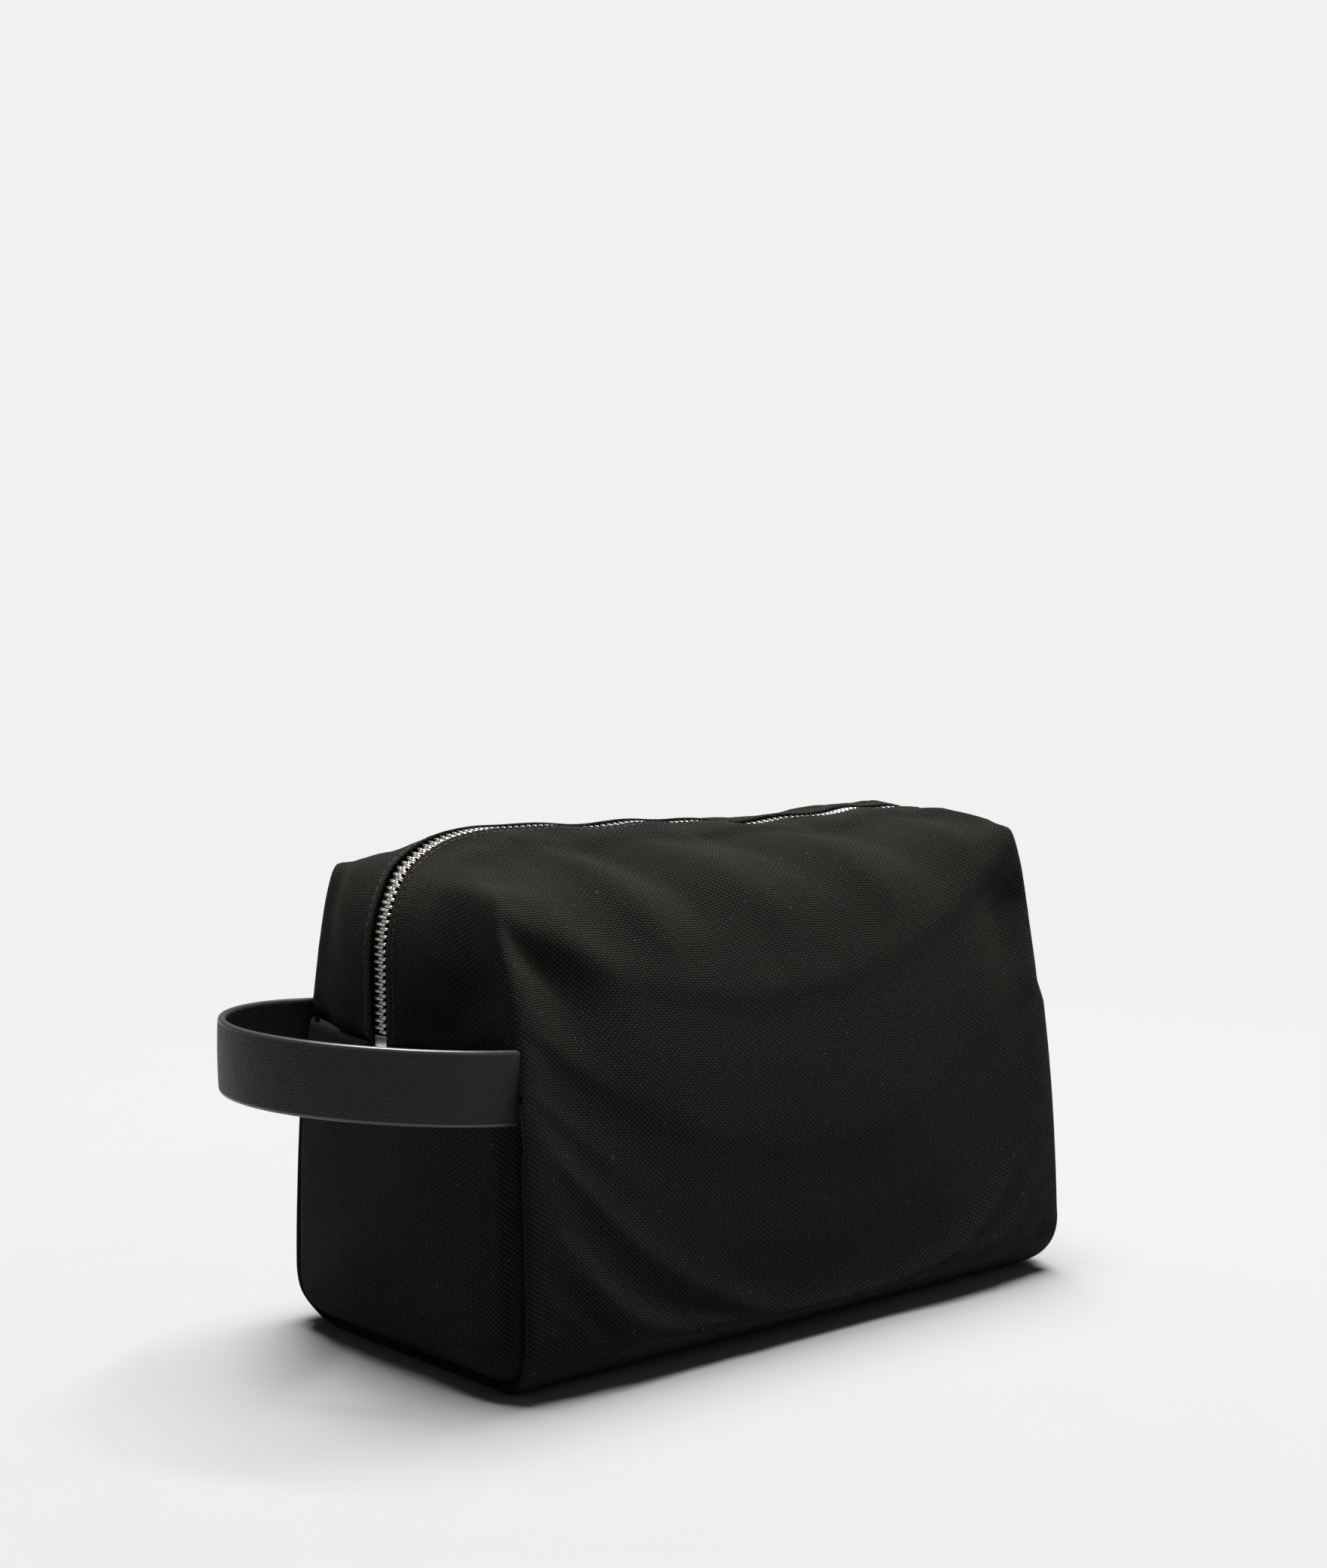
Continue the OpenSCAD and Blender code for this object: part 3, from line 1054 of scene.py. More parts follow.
        # corners keep their points, the middle of the shoulder rolls over softly
        from_end = shape.crease_x - np.abs(points[:, 0])
        from_top = np.abs(points[:, 2] - shape.corner_z)
        corner = np.exp(-((from_end / 0.028) ** 2) - (from_top / 0.035) ** 2)
        crease = np.exp(-((from_end / 0.011) ** 2)) * (points[:, 2] < shape.corner_z - 0.004)
        low = smoothstep((0.060 - points[:, 2]) / 0.03)
        strength = 0.5 * (1 - 0.985 * corner) * (1 - 0.96 * crease) * (1 - 0.9 * low)
        strength[fixed] = 0.0
        sheet.points = relax(points, sheet.faces, strength, 46)
        self.measure()
        flat = self.flat_places()
        lift = sum((fold.lift(flat) for fold in self.folds), np.zeros(len(points)))
        lift *= smoothstep(flat[:, 1] / 0.012) * smoothstep((sheet.points[:, 2] - 0.004) / 0.02) * ~fixed
        sheet.points = sheet.points + lift[:, None] * sheet.normals()
        self.rest(fixed)
        self.measure()

    def rest(self, fixed: np.ndarray) -> None:
        """Runs the cloth, held at its seams.

        Args:
            fixed: Points on seams.
        """
        points = self.sheet.points
        edge_distance = np.minimum(self.shape.crease_x - np.abs(points[:, 0]), points[:, 2])
        flat = self.flat_places()
        edge_distance = np.minimum(edge_distance, flat[:, 1] - 0.003)
        pins = 1.0 - 0.97 * smoothstep(edge_distance / 0.016)
        pins[fixed] = 1.0
        settle(self.sheet, np.clip(pins, 0.0, 1.0), extra=0.012, frames=24, cap=0.004)

    def measure(self) -> None:
        """Finds each point's place on the flat cloth."""
        points = self.sheet.points
        sign = -self.side.value
        roof, wall = points[self.roof], points[self.wall]
        middle = self.roof.shape[1] // 2
        roof_flat = np.stack([run_across(roof, middle) * sign, run_down(roof)], 2)
        start = roof_flat[-1, self.edge : self.edge + self.wall.shape[1], 1]
        wall_flat = np.stack([run_across(wall, self.wall.shape[1] // 2) * sign, run_down(wall) + start], 2)
        flats = [roof_flat, wall_flat]
        for wrap, column in zip(self.sheet.grids[2:], (0, -1)):
            base = wall_flat[self.edge :, column]
            way = run_across(points[wrap], 0) * (-1 if column == 0 else 1) * sign
            flats.append(np.stack([base[:, :1] + way, np.repeat(base[:, 1:], wrap.shape[1], 1)], 2))
        self.sheet.flat = flats

    def flat_places(self) -> np.ndarray:
        """One place on the flat cloth for every point: along from the middle, and down from the zip."""
        flat = np.zeros((len(self.sheet.points), 2))
        for grid, places in reversed(list(zip(self.sheet.grids, self.sheet.flat))):
            flat[grid.ravel()] = places.reshape(-1, 2)
        flat[:, 0] *= -self.side.value
        return flat

    def line(self, row: int, lift: float) -> tuple[np.ndarray, np.ndarray]:
        """A line along the roof.

        Args:
            row: Which of the roof's lines.
            lift: Height over the cloth.

        Returns:
            Its points, and the outward direction at each.
        """
        out = self.sheet.normals()[self.roof[row]]
        return self.sheet.points[self.roof[row]] + lift * out, out

    def build(self, finishes: Palette) -> None:
        """Makes the canvas and the lining that lies inside it.

        Args:
            finishes: The bag's finishes.
        """
        canvas = self.sheet.make(f"{self.side.word}_canvas")
        finish_mesh(canvas, thickness(self.thick), subdivision(1))
        nodes = [f"{self.side.word}_upper_panel"]
        if self.side is Side.FRONT:
            nodes.append("body_wrap")
        dress(canvas, finishes.canvas, tuple(nodes), side=self.side)

        outer = self.sheet
        points = outer.points - self.LINING_DEEP * outer.normals()
        # the lining stops short of the zip, so that the tape lies free
        keep = np.abs(points[self.roof][:, :, 1]).min(axis=1) > self.LINING_EDGE
        grids = [self.roof[keep], self.wall]
        lining = Sheet(points, grids, outer.flips[:2], [outer.flat[0][keep], outer.flat[1]])
        piece = lining.make(f"{self.side.word}_lining")
        finish_mesh(piece, thickness(0.0004))
        dress(piece, finishes.lining, (f"lining_{self.side.word}",), side=self.side)


@dataclass
class EndPanel:
    """A lower end panel, bulged, sewn in at its edges and folded over at its top."""

    shape: BodyShape
    end: End
    notch: float = 0.0052  # half width of the gap that the zip's end lies in
    notch_floor: float = 0.0935

    # distance in from the body's outline, and how far past the crease the face stands there
    RIM = ((0.0042, -0.0030), (0.0052, 0.0004), (0.0072, 0.0020))
    # places of the first lines of points, in from the outline
    FIRST_LINES = (0.0, 0.0010, 0.0028, 0.0050, 0.0075)
    # the folded top edge: how far back and how far below the top each line lies
    HEM = ((0.0008, -0.0004), (0.0016, 0.0004), (0.0018, 0.0045))

    def outline_half(self, z: np.ndarray, inset: float, side: int) -> np.ndarray:
        """Distance of the body's outline from the middle at each height, drawn in by an inset."""
        shape = self.shape
        radius = shape.base_round - inset
        down = np.clip(shape.base_round - z, 0.0, radius)
        low = shape.round_y + np.sqrt(np.maximum(radius**2 - down**2, 0.0))
        place = self.end.value * shape.crease_x
        return np.where(z < shape.base_round, low, shape.wall_half(z, side, place) - inset)

    def depth_in(self, y: np.ndarray, z: np.ndarray) -> np.ndarray:
        """Distance of each place from the body's outline."""
        shape = self.shape
        flat = np.minimum(shape.wall_half(z, y, self.end.value * shape.crease_x) - np.abs(y), z)
        cornered = (np.abs(y) > shape.round_y) & (z < shape.base_round)
        arc = shape.base_round - np.hypot(np.abs(y) - shape.round_y, shape.base_round - z)
        return np.where(cornered, arc, flat)

    def face_x(self, y: np.ndarray, z: np.ndarray) -> np.ndarray:
        """How far out the panel's face stands."""
        shape = self.shape
        deep = self.depth_in(y, z)
        (d0, x0), (d1, x1), (d2, x2) = self.RIM
        rim = np.interp(deep, [d0, d1, d2], [x0, x1, x2])
        full = shape.end_x - shape.crease_x
        share = np.clip((deep - d2) / 0.046, 0.0, 1.0)
        wall = shape.wall_half(z, y, self.end.value * shape.crease_x)
        side_share = np.clip(1 - (np.abs(y) / wall) ** 2, 0.0, 1.0)
        bulge = x2 + (full - x2) * np.minimum(np.sqrt(share * (2 - share)), side_share**0.9)
        return shape.crease_x + np.where(deep < d2, rim, np.maximum(bulge, x2 + 0.0004))

    def build(self, finishes: Palette) -> None:
        """Makes the panel with its folded top edge.

        Args:
            finishes: The bag's finishes.
        """
        top = self.shape.seam_z + 0.0008
        inset = self.RIM[0][0]
        first = np.array(self.FIRST_LINES)
        middle = np.linspace(0.0135, self.notch_floor, 27)
        z = np.concatenate([inset + first, middle, np.linspace(self.notch_floor, top, 7)[1:]])
        centre = np.array([-1.0, -0.5, 0.0, 0.5, 1.0]) * self.notch
        rows = []
        for level in z:
            lines = []
            for side in (-1, 1):
                half = float(self.outline_half(np.array([level]), inset, side)[0])
                inner = np.linspace(half - 0.0105, self.notch, 13)[:-1]
                lines.append(np.concatenate([half - first, inner]))
            rows.append(np.concatenate([-lines[0], centre, lines[1][::-1]]))
        y = np.array(rows)
        height = np.repeat(z[:, None], y.shape[1], 1)
        wave = 0.0006 * np.sin(y * 95.0 + 1.0 + self.end.value) * np.sin(height * 62.0)
        x = self.face_x(y, height) + wave * smoothstep(self.depth_in(y, height) / 0.02)
        points = np.stack([self.end.value * x, y, height], 2)
        for back, down in self.HEM:
            fold = points[len(z) - 1].copy()
            fold[:, 0] -= self.end.value * back
            fold[:, 2] = top - down
            points = np.concatenate([points, fold[None]])
        sheet = Sheet.of_grid(points, self.end is End.FAR, 0.2)
        faces = sheet.faces
        centres = sheet.points[faces].mean(axis=1)
        kept = (np.abs(centres[:, 1]) >= self.notch) | (centres[:, 2] <= self.notch_floor)
        name, places = f"end_canvas_{self.end.word}", sheet.corner_places()
        panel = make_object(name, sheet.points, faces[kept], places[kept])
        finish_mesh(panel, thickness(0.0011), subdivision(1))
        dress(panel, finishes.canvas, (f"end_panel_{self.end.word}",))
        self.build_lining(points[: len(z)], finishes)

    def build_lining(self, points: np.ndarray, finishes: Palette) -> None:
        """Makes the lining behind the panel.

        Args:
            points: The panel's points, row by row.
            finishes: The bag's finishes.
        """
        inner = points[3:, 3:-3].copy()
        inner[:, :, 0] -= self.end.value * 0.0042
        piece = Sheet.of_grid(inner, self.end is End.FAR).make(f"end_lining_{self.end.word}")
        finish_mesh(piece, thickness(0.0004))
        nodes = ("lining_base",) if self.end is End.NEAR else ()
        dress(piece, finishes.lining, nodes)


# ---- Things repeated along a line, by Geometry Nodes ----


@dataclass(frozen=True)
class Rail:
    """A line in space with an outward direction, for things to be set along."""

    points: np.ndarray
    out: np.ndarray

    def cut(self, start: float, end: float) -> Rail:
        """The part of the line between two distances from its start."""
        step = np.linalg.norm(np.diff(self.points, axis=0), axis=1)
        run = np.concatenate([[0.0], np.cumsum(step)])
        places = np.linspace(start, end, max(int((end - start) / 0.0008), 8))
        points = np.stack([np.interp(places, run, self.points[:, k]) for k in range(3)], 1)
        out = np.stack([np.interp(places, run, self.out[:, k]) for k in range(3)], 1)
        return Rail(points, out / np.linalg.norm(out, axis=1)[:, None])

    @property
    def length(self) -> float:
        """Length of the line."""
        return float(np.linalg.norm(np.diff(self.points, axis=0), axis=1).sum())

    def object(self, name: str) -> Piece:
        """Makes the line into a mesh of edges that carries its outward direction."""
        piece = link_mesh(name, self.points, [(k, k + 1) for k in range(len(self.points) - 1)], [])
        layer = piece.data.attributes.new("out", "FLOAT_VECTOR", "POINT")
        layer.data.foreach_set("vector", self.out.astype(np.float32).ravel())
        return piece


def row_tree() -> bpy.types.NodeTree:
    """Node group that sets one thing after another along a line, its X along and its Z outwards."""
    tree = bpy.data.node_groups.new("set_along", "GeometryNodeTree")
    face = tree.interface
    face.new_socket("Geometry", in_out="INPUT", socket_type="NodeSocketGeometry")
    face.new_socket("Thing", in_out="INPUT", socket_type="NodeSocketObject")
    face.new_socket("Pitch", in_out="INPUT", socket_type="NodeSocketFloat")
    face.new_socket("Material", in_out="INPUT", socket_type="NodeSocketMaterial")
    face.new_socket("Geometry", in_out="OUTPUT", socket_type="NodeSocketGeometry")
    node = tree.nodes.new
    given, result = node("NodeGroupInput"), node("NodeGroupOutput")
    to_curve, spaced = node("GeometryNodeMeshToCurve"), node("GeometryNodeResampleCurve")
    spaced.mode = "LENGTH"
    out = node("GeometryNodeInputNamedAttribute")
    out.data_type = "FLOAT_VECTOR"
    out.inputs["Name"].default_value = "out"
    along = node("GeometryNodeInputTangent")
    turn = node("FunctionNodeAxesToRotation")
    turn.primary_axis, turn.secondary_axis = "Z", "X"
    thing, placed = node("GeometryNodeObjectInfo"), node("GeometryNodeInstanceOnPoints")
    real, finish = node("GeometryNodeRealizeInstances"), node("GeometryNodeSetMaterial")
    link = tree.links.new
    link(given.outputs["Geometry"], to_curve.inputs["Mesh"])
    link(to_curve.outputs[0], spaced.inputs["Curve"])
    link(given.outputs["Pitch"], spaced.inputs["Length"])
    link(given.outputs["Thing"], thing.inputs["Object"])
    link(out.outputs["Attribute"], turn.inputs["Primary Axis"])
    link(along.outputs[0], turn.inputs["Secondary Axis"])
    link(spaced.outputs[0], placed.inputs["Points"])
    link(thing.outputs["Geometry"], placed.inputs["Instance"])
    link(turn.outputs[0], placed.inputs["Rotation"])
    link(placed.outputs[0], real.inputs[0])
    link(real.outputs[0], finish.inputs["Geometry"])
    link(given.outputs["Material"], finish.inputs["Material"])
    link(finish.outputs[0], result.inputs[0])
    return tree


def set_along(name: str, rail: Rail, thing: Piece, pitch: float, finish: Material) -> Piece:
    """Sets copies of a thing along a line and makes them one piece.

    Args:
        name: Name of the piece.
        rail: The line.
        thing: The thing, with X along the line and Z outwards; it is used up.
        pitch: Distance from one to the next.
        finish: Its material.

    Returns:
        The piece.
    """
    tree = bpy.data.node_groups.get("set_along") or row_tree()
    socket = {item.name: item.identifier for item in tree.interface.items_tree if item.in_out == "INPUT"}
    piece = rail.object(name)
    modifier = piece.modifiers.new("row", "NODES")
    modifier.node_group = tree
    modifier[socket["Thing"]] = thing
    modifier[socket["Pitch"]] = pitch
    modifier[socket["Material"]] = finish
    finish_mesh(piece)
    bpy.data.objects.remove(thing)
    piece.data.polygons.foreach_set("use_smooth", np.ones(len(piece.data.polygons), bool))
    return piece


def ring_solid(name: str, rings: list[np.ndarray], linked: bool = False) -> Piece:
    """Makes a solid by joining rings of points, capped at both ends.

    Args:
        name: Name of the object.
        rings: Rings of the same number of points, in order.
        linked: Joins the last ring back to the first instead of capping them.

    Returns:
        The object.
    """
    count = len(rings[0])
    faces: list[list[int]] = []
    pairs = len(rings) if linked else len(rings) - 1
    for ring in range(pairs):
        a, b = ring * count, ((ring + 1) % len(rings)) * count
        faces += [[a + k, a + (k + 1) % count, b + (k + 1) % count, b + k] for k in range(count)]
    if not linked:
        faces.append(list(range(count))[::-1])
        faces.append([(len(rings) - 1) * count + k for k in range(count)])
    piece = link_mesh(name, np.concatenate(rings), [], faces)
    turn_outwards(piece)
    return piece


def turn_outwards(piece: Piece) -> None:
    """Turns every face of a closed piece outwards."""
    work = bmesh.new()
    work.from_mesh(piece.data)
    bmesh.ops.recalc_face_normals(work, faces=work.faces)
    work.to_mesh(piece.data)
    work.free()


def rounded_rectangle(width: float, height: float, radius: float, steps: int = 3) -> np.ndarray:
    """Points round a rectangle with rounded corners, centred on the origin."""
    corners = ((1, 1, 0.0), (-1, 1, 0.5), (-1, -1, 1.0), (1, -1, 1.5))
    points = []
    for sx, sy, start in corners:
        for k in range(steps + 1):
            angle = math.pi * (start + 0.5 * k / steps)
            cx, cy = sx * (width / 2 - radius), sy * (height / 2 - radius)
            points.append((cx + radius * math.cos(angle), cy + radius * math.sin(angle)))
    return np.array(points)


def rounded_block(name: str, low: Point, high: Point, radius: float, segments: int = 2) -> Piece:
    """Makes a box with rounded edges between two corners."""
    low, high = np.array(low), np.array(high)
    middle, size = (low + high) / 2, (high - low)
    corners = np.array([(x, y, z) for x in (-0.5, 0.5) for y in (-0.5, 0.5) for z in (-0.5, 0.5)])
    faces = np.array([(0, 1, 3, 2), (4, 6, 7, 5), (0, 4, 5, 1), (2, 3, 7, 6), (0, 2, 6, 4), (1, 5, 7, 3)])
    piece = make_object(name, corners * size + middle, faces)
    finish_mesh(piece, ("BEVEL", {"width": radius, "segments": segments, "limit_method": "NONE"}))
    return piece


def join(pieces: list[Piece], name: str) -> Piece:
    """Joins pieces into one object."""
    with bpy.context.temp_override(active_object=pieces[0], selected_editable_objects=pieces):
        bpy.ops.object.join()
    pieces[0].name = name
    return pieces[0]


# ---- Zip ----


@dataclass
class ZipFastener:
    """The coarse metal zip: tapes, teeth, stops, slider and pull."""

    shape: BodyShape
    finishes: Palette
    pitch: float = 0.00245
    tape_deep: float = 0.0017  # depths below the canvas face
    chain_deep: float = 0.0016

    # lines of the tape, from its edge beside the teeth
    TAPE_LINES = (0.0022, 0.0030, 0.0040, 0.0060, 0.0082, 0.0105)
    # a tooth's sections: place across the zip, half width along it, half thickness
    TOOTH = (
        (-0.00300, 0.00034, 0.00080),
        (-0.00280, 0.00050, 0.00110),
        (-0.00090, 0.00050, 0.00110),
        (-0.00050, 0.00036, 0.00086),
        (0.00020, 0.00056, 0.00094),
        (0.00080, 0.00052, 0.00086),
        (0.00115, 0.00026, 0.00050),
    )
    # a stitch's sections: place along it and radius
    STITCH = ((-0.0012, 0.00008), (-0.00095, 0.00022), (0.0, 0.00028), (0.00095, 0.00022), (0.0012, 0.00008))
    # the slider's outline: half width at its top, shoulder, waist, foot and end
    SLIDER_HALF = (0.0034, 0.0044, 0.0040, 0.0034, 0.0026)

    def chain_line(self, low: float, deep: float) -> tuple[np.ndarray, np.ndarray]:
        """The middle of the zip, from the near end over the top to the far end.

        Args:
            low: Height that it starts and stops at.
            deep: Depth below the canvas face.

        Returns:
            Its points, and the outward direction at each.
        """
        x, across, z, out_x, out_z = self.shape.roof(0.0, (20, 24, 160), low, deep)
        return np.stack([x, across, z], 1), np.stack([out_x, np.zeros_like(x), out_z], 1)

    def tape(self, side: Side) -> None:
        """Makes one half of the woven tape, under the canvas edge."""
        points, out = self.chain_line(0.1105, self.tape_deep)
        lines = []
        for line in self.TAPE_LINES:
            shift = np.array([0.0, side.value * line, 0.0])
            lines.append(points + shift - out * 0.00022 * line / 0.001)
        piece = Sheet.of_grid(np.stack(lines), side is Side.BACK).make(f"{side.word}_zip_tape")
        finish_mesh(piece, thickness(0.0006))
        dress(piece, self.finishes.tape, (f"zip_tape_{side.word}",), side=side)

    def tooth(self) -> Piece:
        """One tooth, clamped on the tape at one end with its rounded head at the other."""
        rings = []
        for y, half, deep in self.TOOTH:
            ring = rounded_rectangle(2 * half, 2 * deep, 0.9 * min(half, deep) * 0.8, 1)
            rings.append(np.stack([ring[:, 0], np.full(len(ring), y), ring[:, 1]], 1))
        return ring_solid("tooth", rings)

    def teeth(self, side: Side) -> None:
        """Makes one row of teeth."""
        rail = Rail(*self.chain_line(0.1140, self.chain_deep))
        shift = 0.0 if side is Side.FRONT else self.pitch / 2
        rail = rail.cut(0.0004 + shift, rail.length - 0.0004 - self.pitch / 2 + shift)
        thing = self.tooth()
        if side is Side.BACK:
            # the far row's teeth point the other way
            co = np.array([v.co[:] for v in thing.data.vertices]) * (1, -1, 1)
            thing.data.vertices.foreach_set("co", co.ravel())
            turn_outwards(thing)
        piece = set_along(f"{side.word}_zip_teeth", rail, thing, self.pitch, self.finishes.metal)
        bend_at_side(piece)
        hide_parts(f"zip_teeth_{side.word}")

    def stitches(self, canvas: CanvasSide) -> None:
        """Sews the canvas edge down beside the zip."""
        angle = np.linspace(0, 2 * np.pi, 7)[:-1]
        rings = []
        for x, radius in self.STITCH:
            ring = [np.full(6, x), radius * np.cos(angle), radius * np.sin(angle) - 0.0001]
            rings.append(np.stack(ring, 1))
        rail = Rail(*canvas.line(CanvasSide.STITCH_LINE, 0.00016))
        rail = rail.cut(0.004, rail.length - 0.004)
        thing, name = ring_solid("stitch", rings), f"{canvas.side.word}_topstitching"
        piece = set_along(name, rail, thing, 0.0031, self.finishes.thread)
        bend_at_side(piece)

    def end_parts(self) -> None:
        """Makes the short ends of the chain that stay on the lower body, with their stops."""
        metal = self.finishes.metal
        for end in End:
            node = f"zip_end_tape_{end.word}"
            low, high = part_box(node)
            strip = rounded_block(f"{node}_cloth", tuple(low), tuple(high), 0.0003, 1)
            give_flat_places(strip)
            dress(strip, self.finishes.tape, (node,))

        low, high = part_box("zip_bottom_stop")
        face = -self.shape.zip_x + self.chain_deep
        foot = high[2] - 0.0006
        corners = (face - 0.0012, low[1], foot), (face + 0.0012, high[1], foot + 0.0044)
        stop = rounded_block("bottom_stop", *corners, 0.0008, 3)
        dress(stop, metal, ("zip_bottom_stop",))

        low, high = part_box("zip_top_stops")
        pair = []
        for sign in (-1, 1):
            ends = sorted((sign * 0.0004, sign * high[1]))
            corners = (low[0], ends[0], low[2]), (high[0], ends[1], high[2])
            pair.append(rounded_block("top_stop", *corners, 0.0005, 3))
        dress(join(pair, "top_stops"), metal, ("zip_top_stops",))

        low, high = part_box("zip_end_teeth")
        x = (low[0] + high[0]) / 2
        blocks = []
        for number, z in enumerate(np.arange(low[2] + 0.0006, high[2] - 0.0004, self.pitch / 2)):
            sign = -1 if number % 2 else 1
            ends = sorted((sign * high[1], -sign * 0.0010))
            corners = (x - 0.001, ends[0], z - 0.0006), (x + 0.001, ends[1], z + 0.0006)
            blocks.append(rounded_block("end_tooth", *corners, 0.0004))
        dress(join(blocks, "end_teeth"), metal, ("zip_end_teeth",))

    def slider(self) -> None:
        """Makes the slider's two plates and neck, its bridge, and the pull that hangs from it."""
        metal = self.finishes.metal
        low, high = (np.array(v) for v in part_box("slider_body"))
        # the two plates stand either side of the chain, with room for the teeth between them
        middle, gap, thick = self.shape.zip_x - self.chain_deep, 0.0014, 0.0011
        parts = []
        for x in (middle - gap - thick, middle + gap):
            rings = []
            for level, draw in ((0.0, 0.0004), (0.0003, 0.0), (thick - 0.0003, 0.0), (thick, 0.0004)):
                z = np.array([high[2], high[2] - 0.0012, (low[2] + high[2]) / 2, low[2] + 0.0012, low[2]])
                half = np.array(self.SLIDER_HALF) - draw
                z[0] -= draw
                z[-1] += draw
                ring = np.concatenate([np.stack([half, z], 1), np.stack([-half, z], 1)[::-1]])
                rings.append(np.stack([np.full(len(ring), x + level), ring[:, 0], ring[:, 1]], 1))
            plate = ring_solid("plate", rings)
            finish_mesh(plate, ("BEVEL", {"width": 0.0003, "segments": 2, "limit_method": "ANGLE"}))
            parts.append(plate)
        face = middle + gap
        neck = (middle - gap - 0.0004, -0.0010, high[2] - 0.0030), (face + 0.0004, 0.0010, high[2] - 0.0004)
        parts.append(rounded_block("neck", *neck, 0.0004))
        for side in (-1, 1):
            ends = sorted((side * 0.0034, side * 0.0042))
            rail = (face - 0.0007, ends[0], low[2] + 0.0030), (face + 0.0003, ends[1], high[2] - 0.0024)
            parts.append(rounded_block("rail", *rail, 0.0002))
        body = join(parts, "slider")
        dress(body, metal, ("slider_body", "slider_bridge"), body="slider")
        self.bridge(face + thick, metal)
        self.pull(metal)

    def bridge(self, face: float, metal: Material) -> None:
        """Makes the arch over the slider that the pull hangs in.

        Args:
            face: Outer face of the slider's outer plate.
            metal: The metal.
        """
        low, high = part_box("slider_bridge")
        middle, rise, thick = (low[2] + high[2]) / 2, (high[2] - low[2]) / 2, 0.0010
        foot = face - 0.0004
        ring = rounded_rectangle(thick, 2 * high[1], 0.0003, 2)
        rings = []
        for angle in math.pi * np.arange(13) / 12:
            z = middle + (rise - thick / 2) * math.cos(angle)
            x = foot + (high[0] - foot - thick / 2) * max(math.sin(angle), 0.0) ** 0.6
            along = np.array([math.sin(angle), 0.0, math.cos(angle)])
            rings.append(np.array([x, 0.0, z]) + ring[:, :1] * along + ring[:, 1:] * np.array([0, 1, 0]))
        dress(ring_solid("slider_arch", rings), metal, body="slider")

    def pull(self, metal: Material) -> None:
        """Makes the flat pull, with the window that the slider's arch passes through."""
        low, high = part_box("pull_tab")
        half, length, thick = high[1], high[2] - low[2], (high[0] - low[0]) / 2
        bevel, steps = 0.0003, 11
        outlines, windows = [], []
        for draw in (bevel, 0.0):
            ring = rounded_rectangle(2 * (half - draw), length - 2 * draw, 0.0026 - draw * 0.6, steps)
            taper = 1 - 0.16 * smoothstep((ring[:, 1] / length + 0.5) * 1.1)
            outlines.append(np.stack([ring[:, 0] * taper, ring[:, 1] + (low[2] + high[2]) / 2], 1))
            ring = rounded_rectangle(2 * (half - 0.0019 + draw), 0.0100 + 2 * draw, 0.0013, steps)
            windows.append(np.stack([ring[:, 0], ring[:, 1] + high[2] - 0.0064], 1))
        # up the outer rim from the back to the front, and back through the window
        levels = (-thick, bevel - thick, thick - bevel, thick)
        section = [*zip(outlines + outlines[::-1], levels), *zip(windows + windows[::-1], levels[::-1])]
        middle = (low[0] + high[0]) / 2
        rings = [np.insert(ring, 0, middle + level, axis=1) for ring, level in section]
        tab = ring_solid("zip_pull", rings, linked=True)
        dress(tab, metal, ("pull_tab",), body="pull")

    def build(self, sides: list[CanvasSide]) -> None:
        """Makes the whole zip.

        Args:
            sides: The two sides' canvas.
        """
        for canvas in sides:
            self.tape(canvas.side)
            self.teeth(canvas.side)
            self.stitches(canvas)
        self.end_parts()
        self.slider()


def give_flat_places(piece: Piece) -> None:
    """Lays a flat strip's cloth places out from its own Y and Z."""
    mesh = piece.data
    layer = mesh.uv_layers.new(name="cloth")
    for loop in mesh.loops:
        co = mesh.vertices[loop.vertex_index].co
        layer.data[loop.index].uv = (co.y, co.z)


# ---- Handle ----


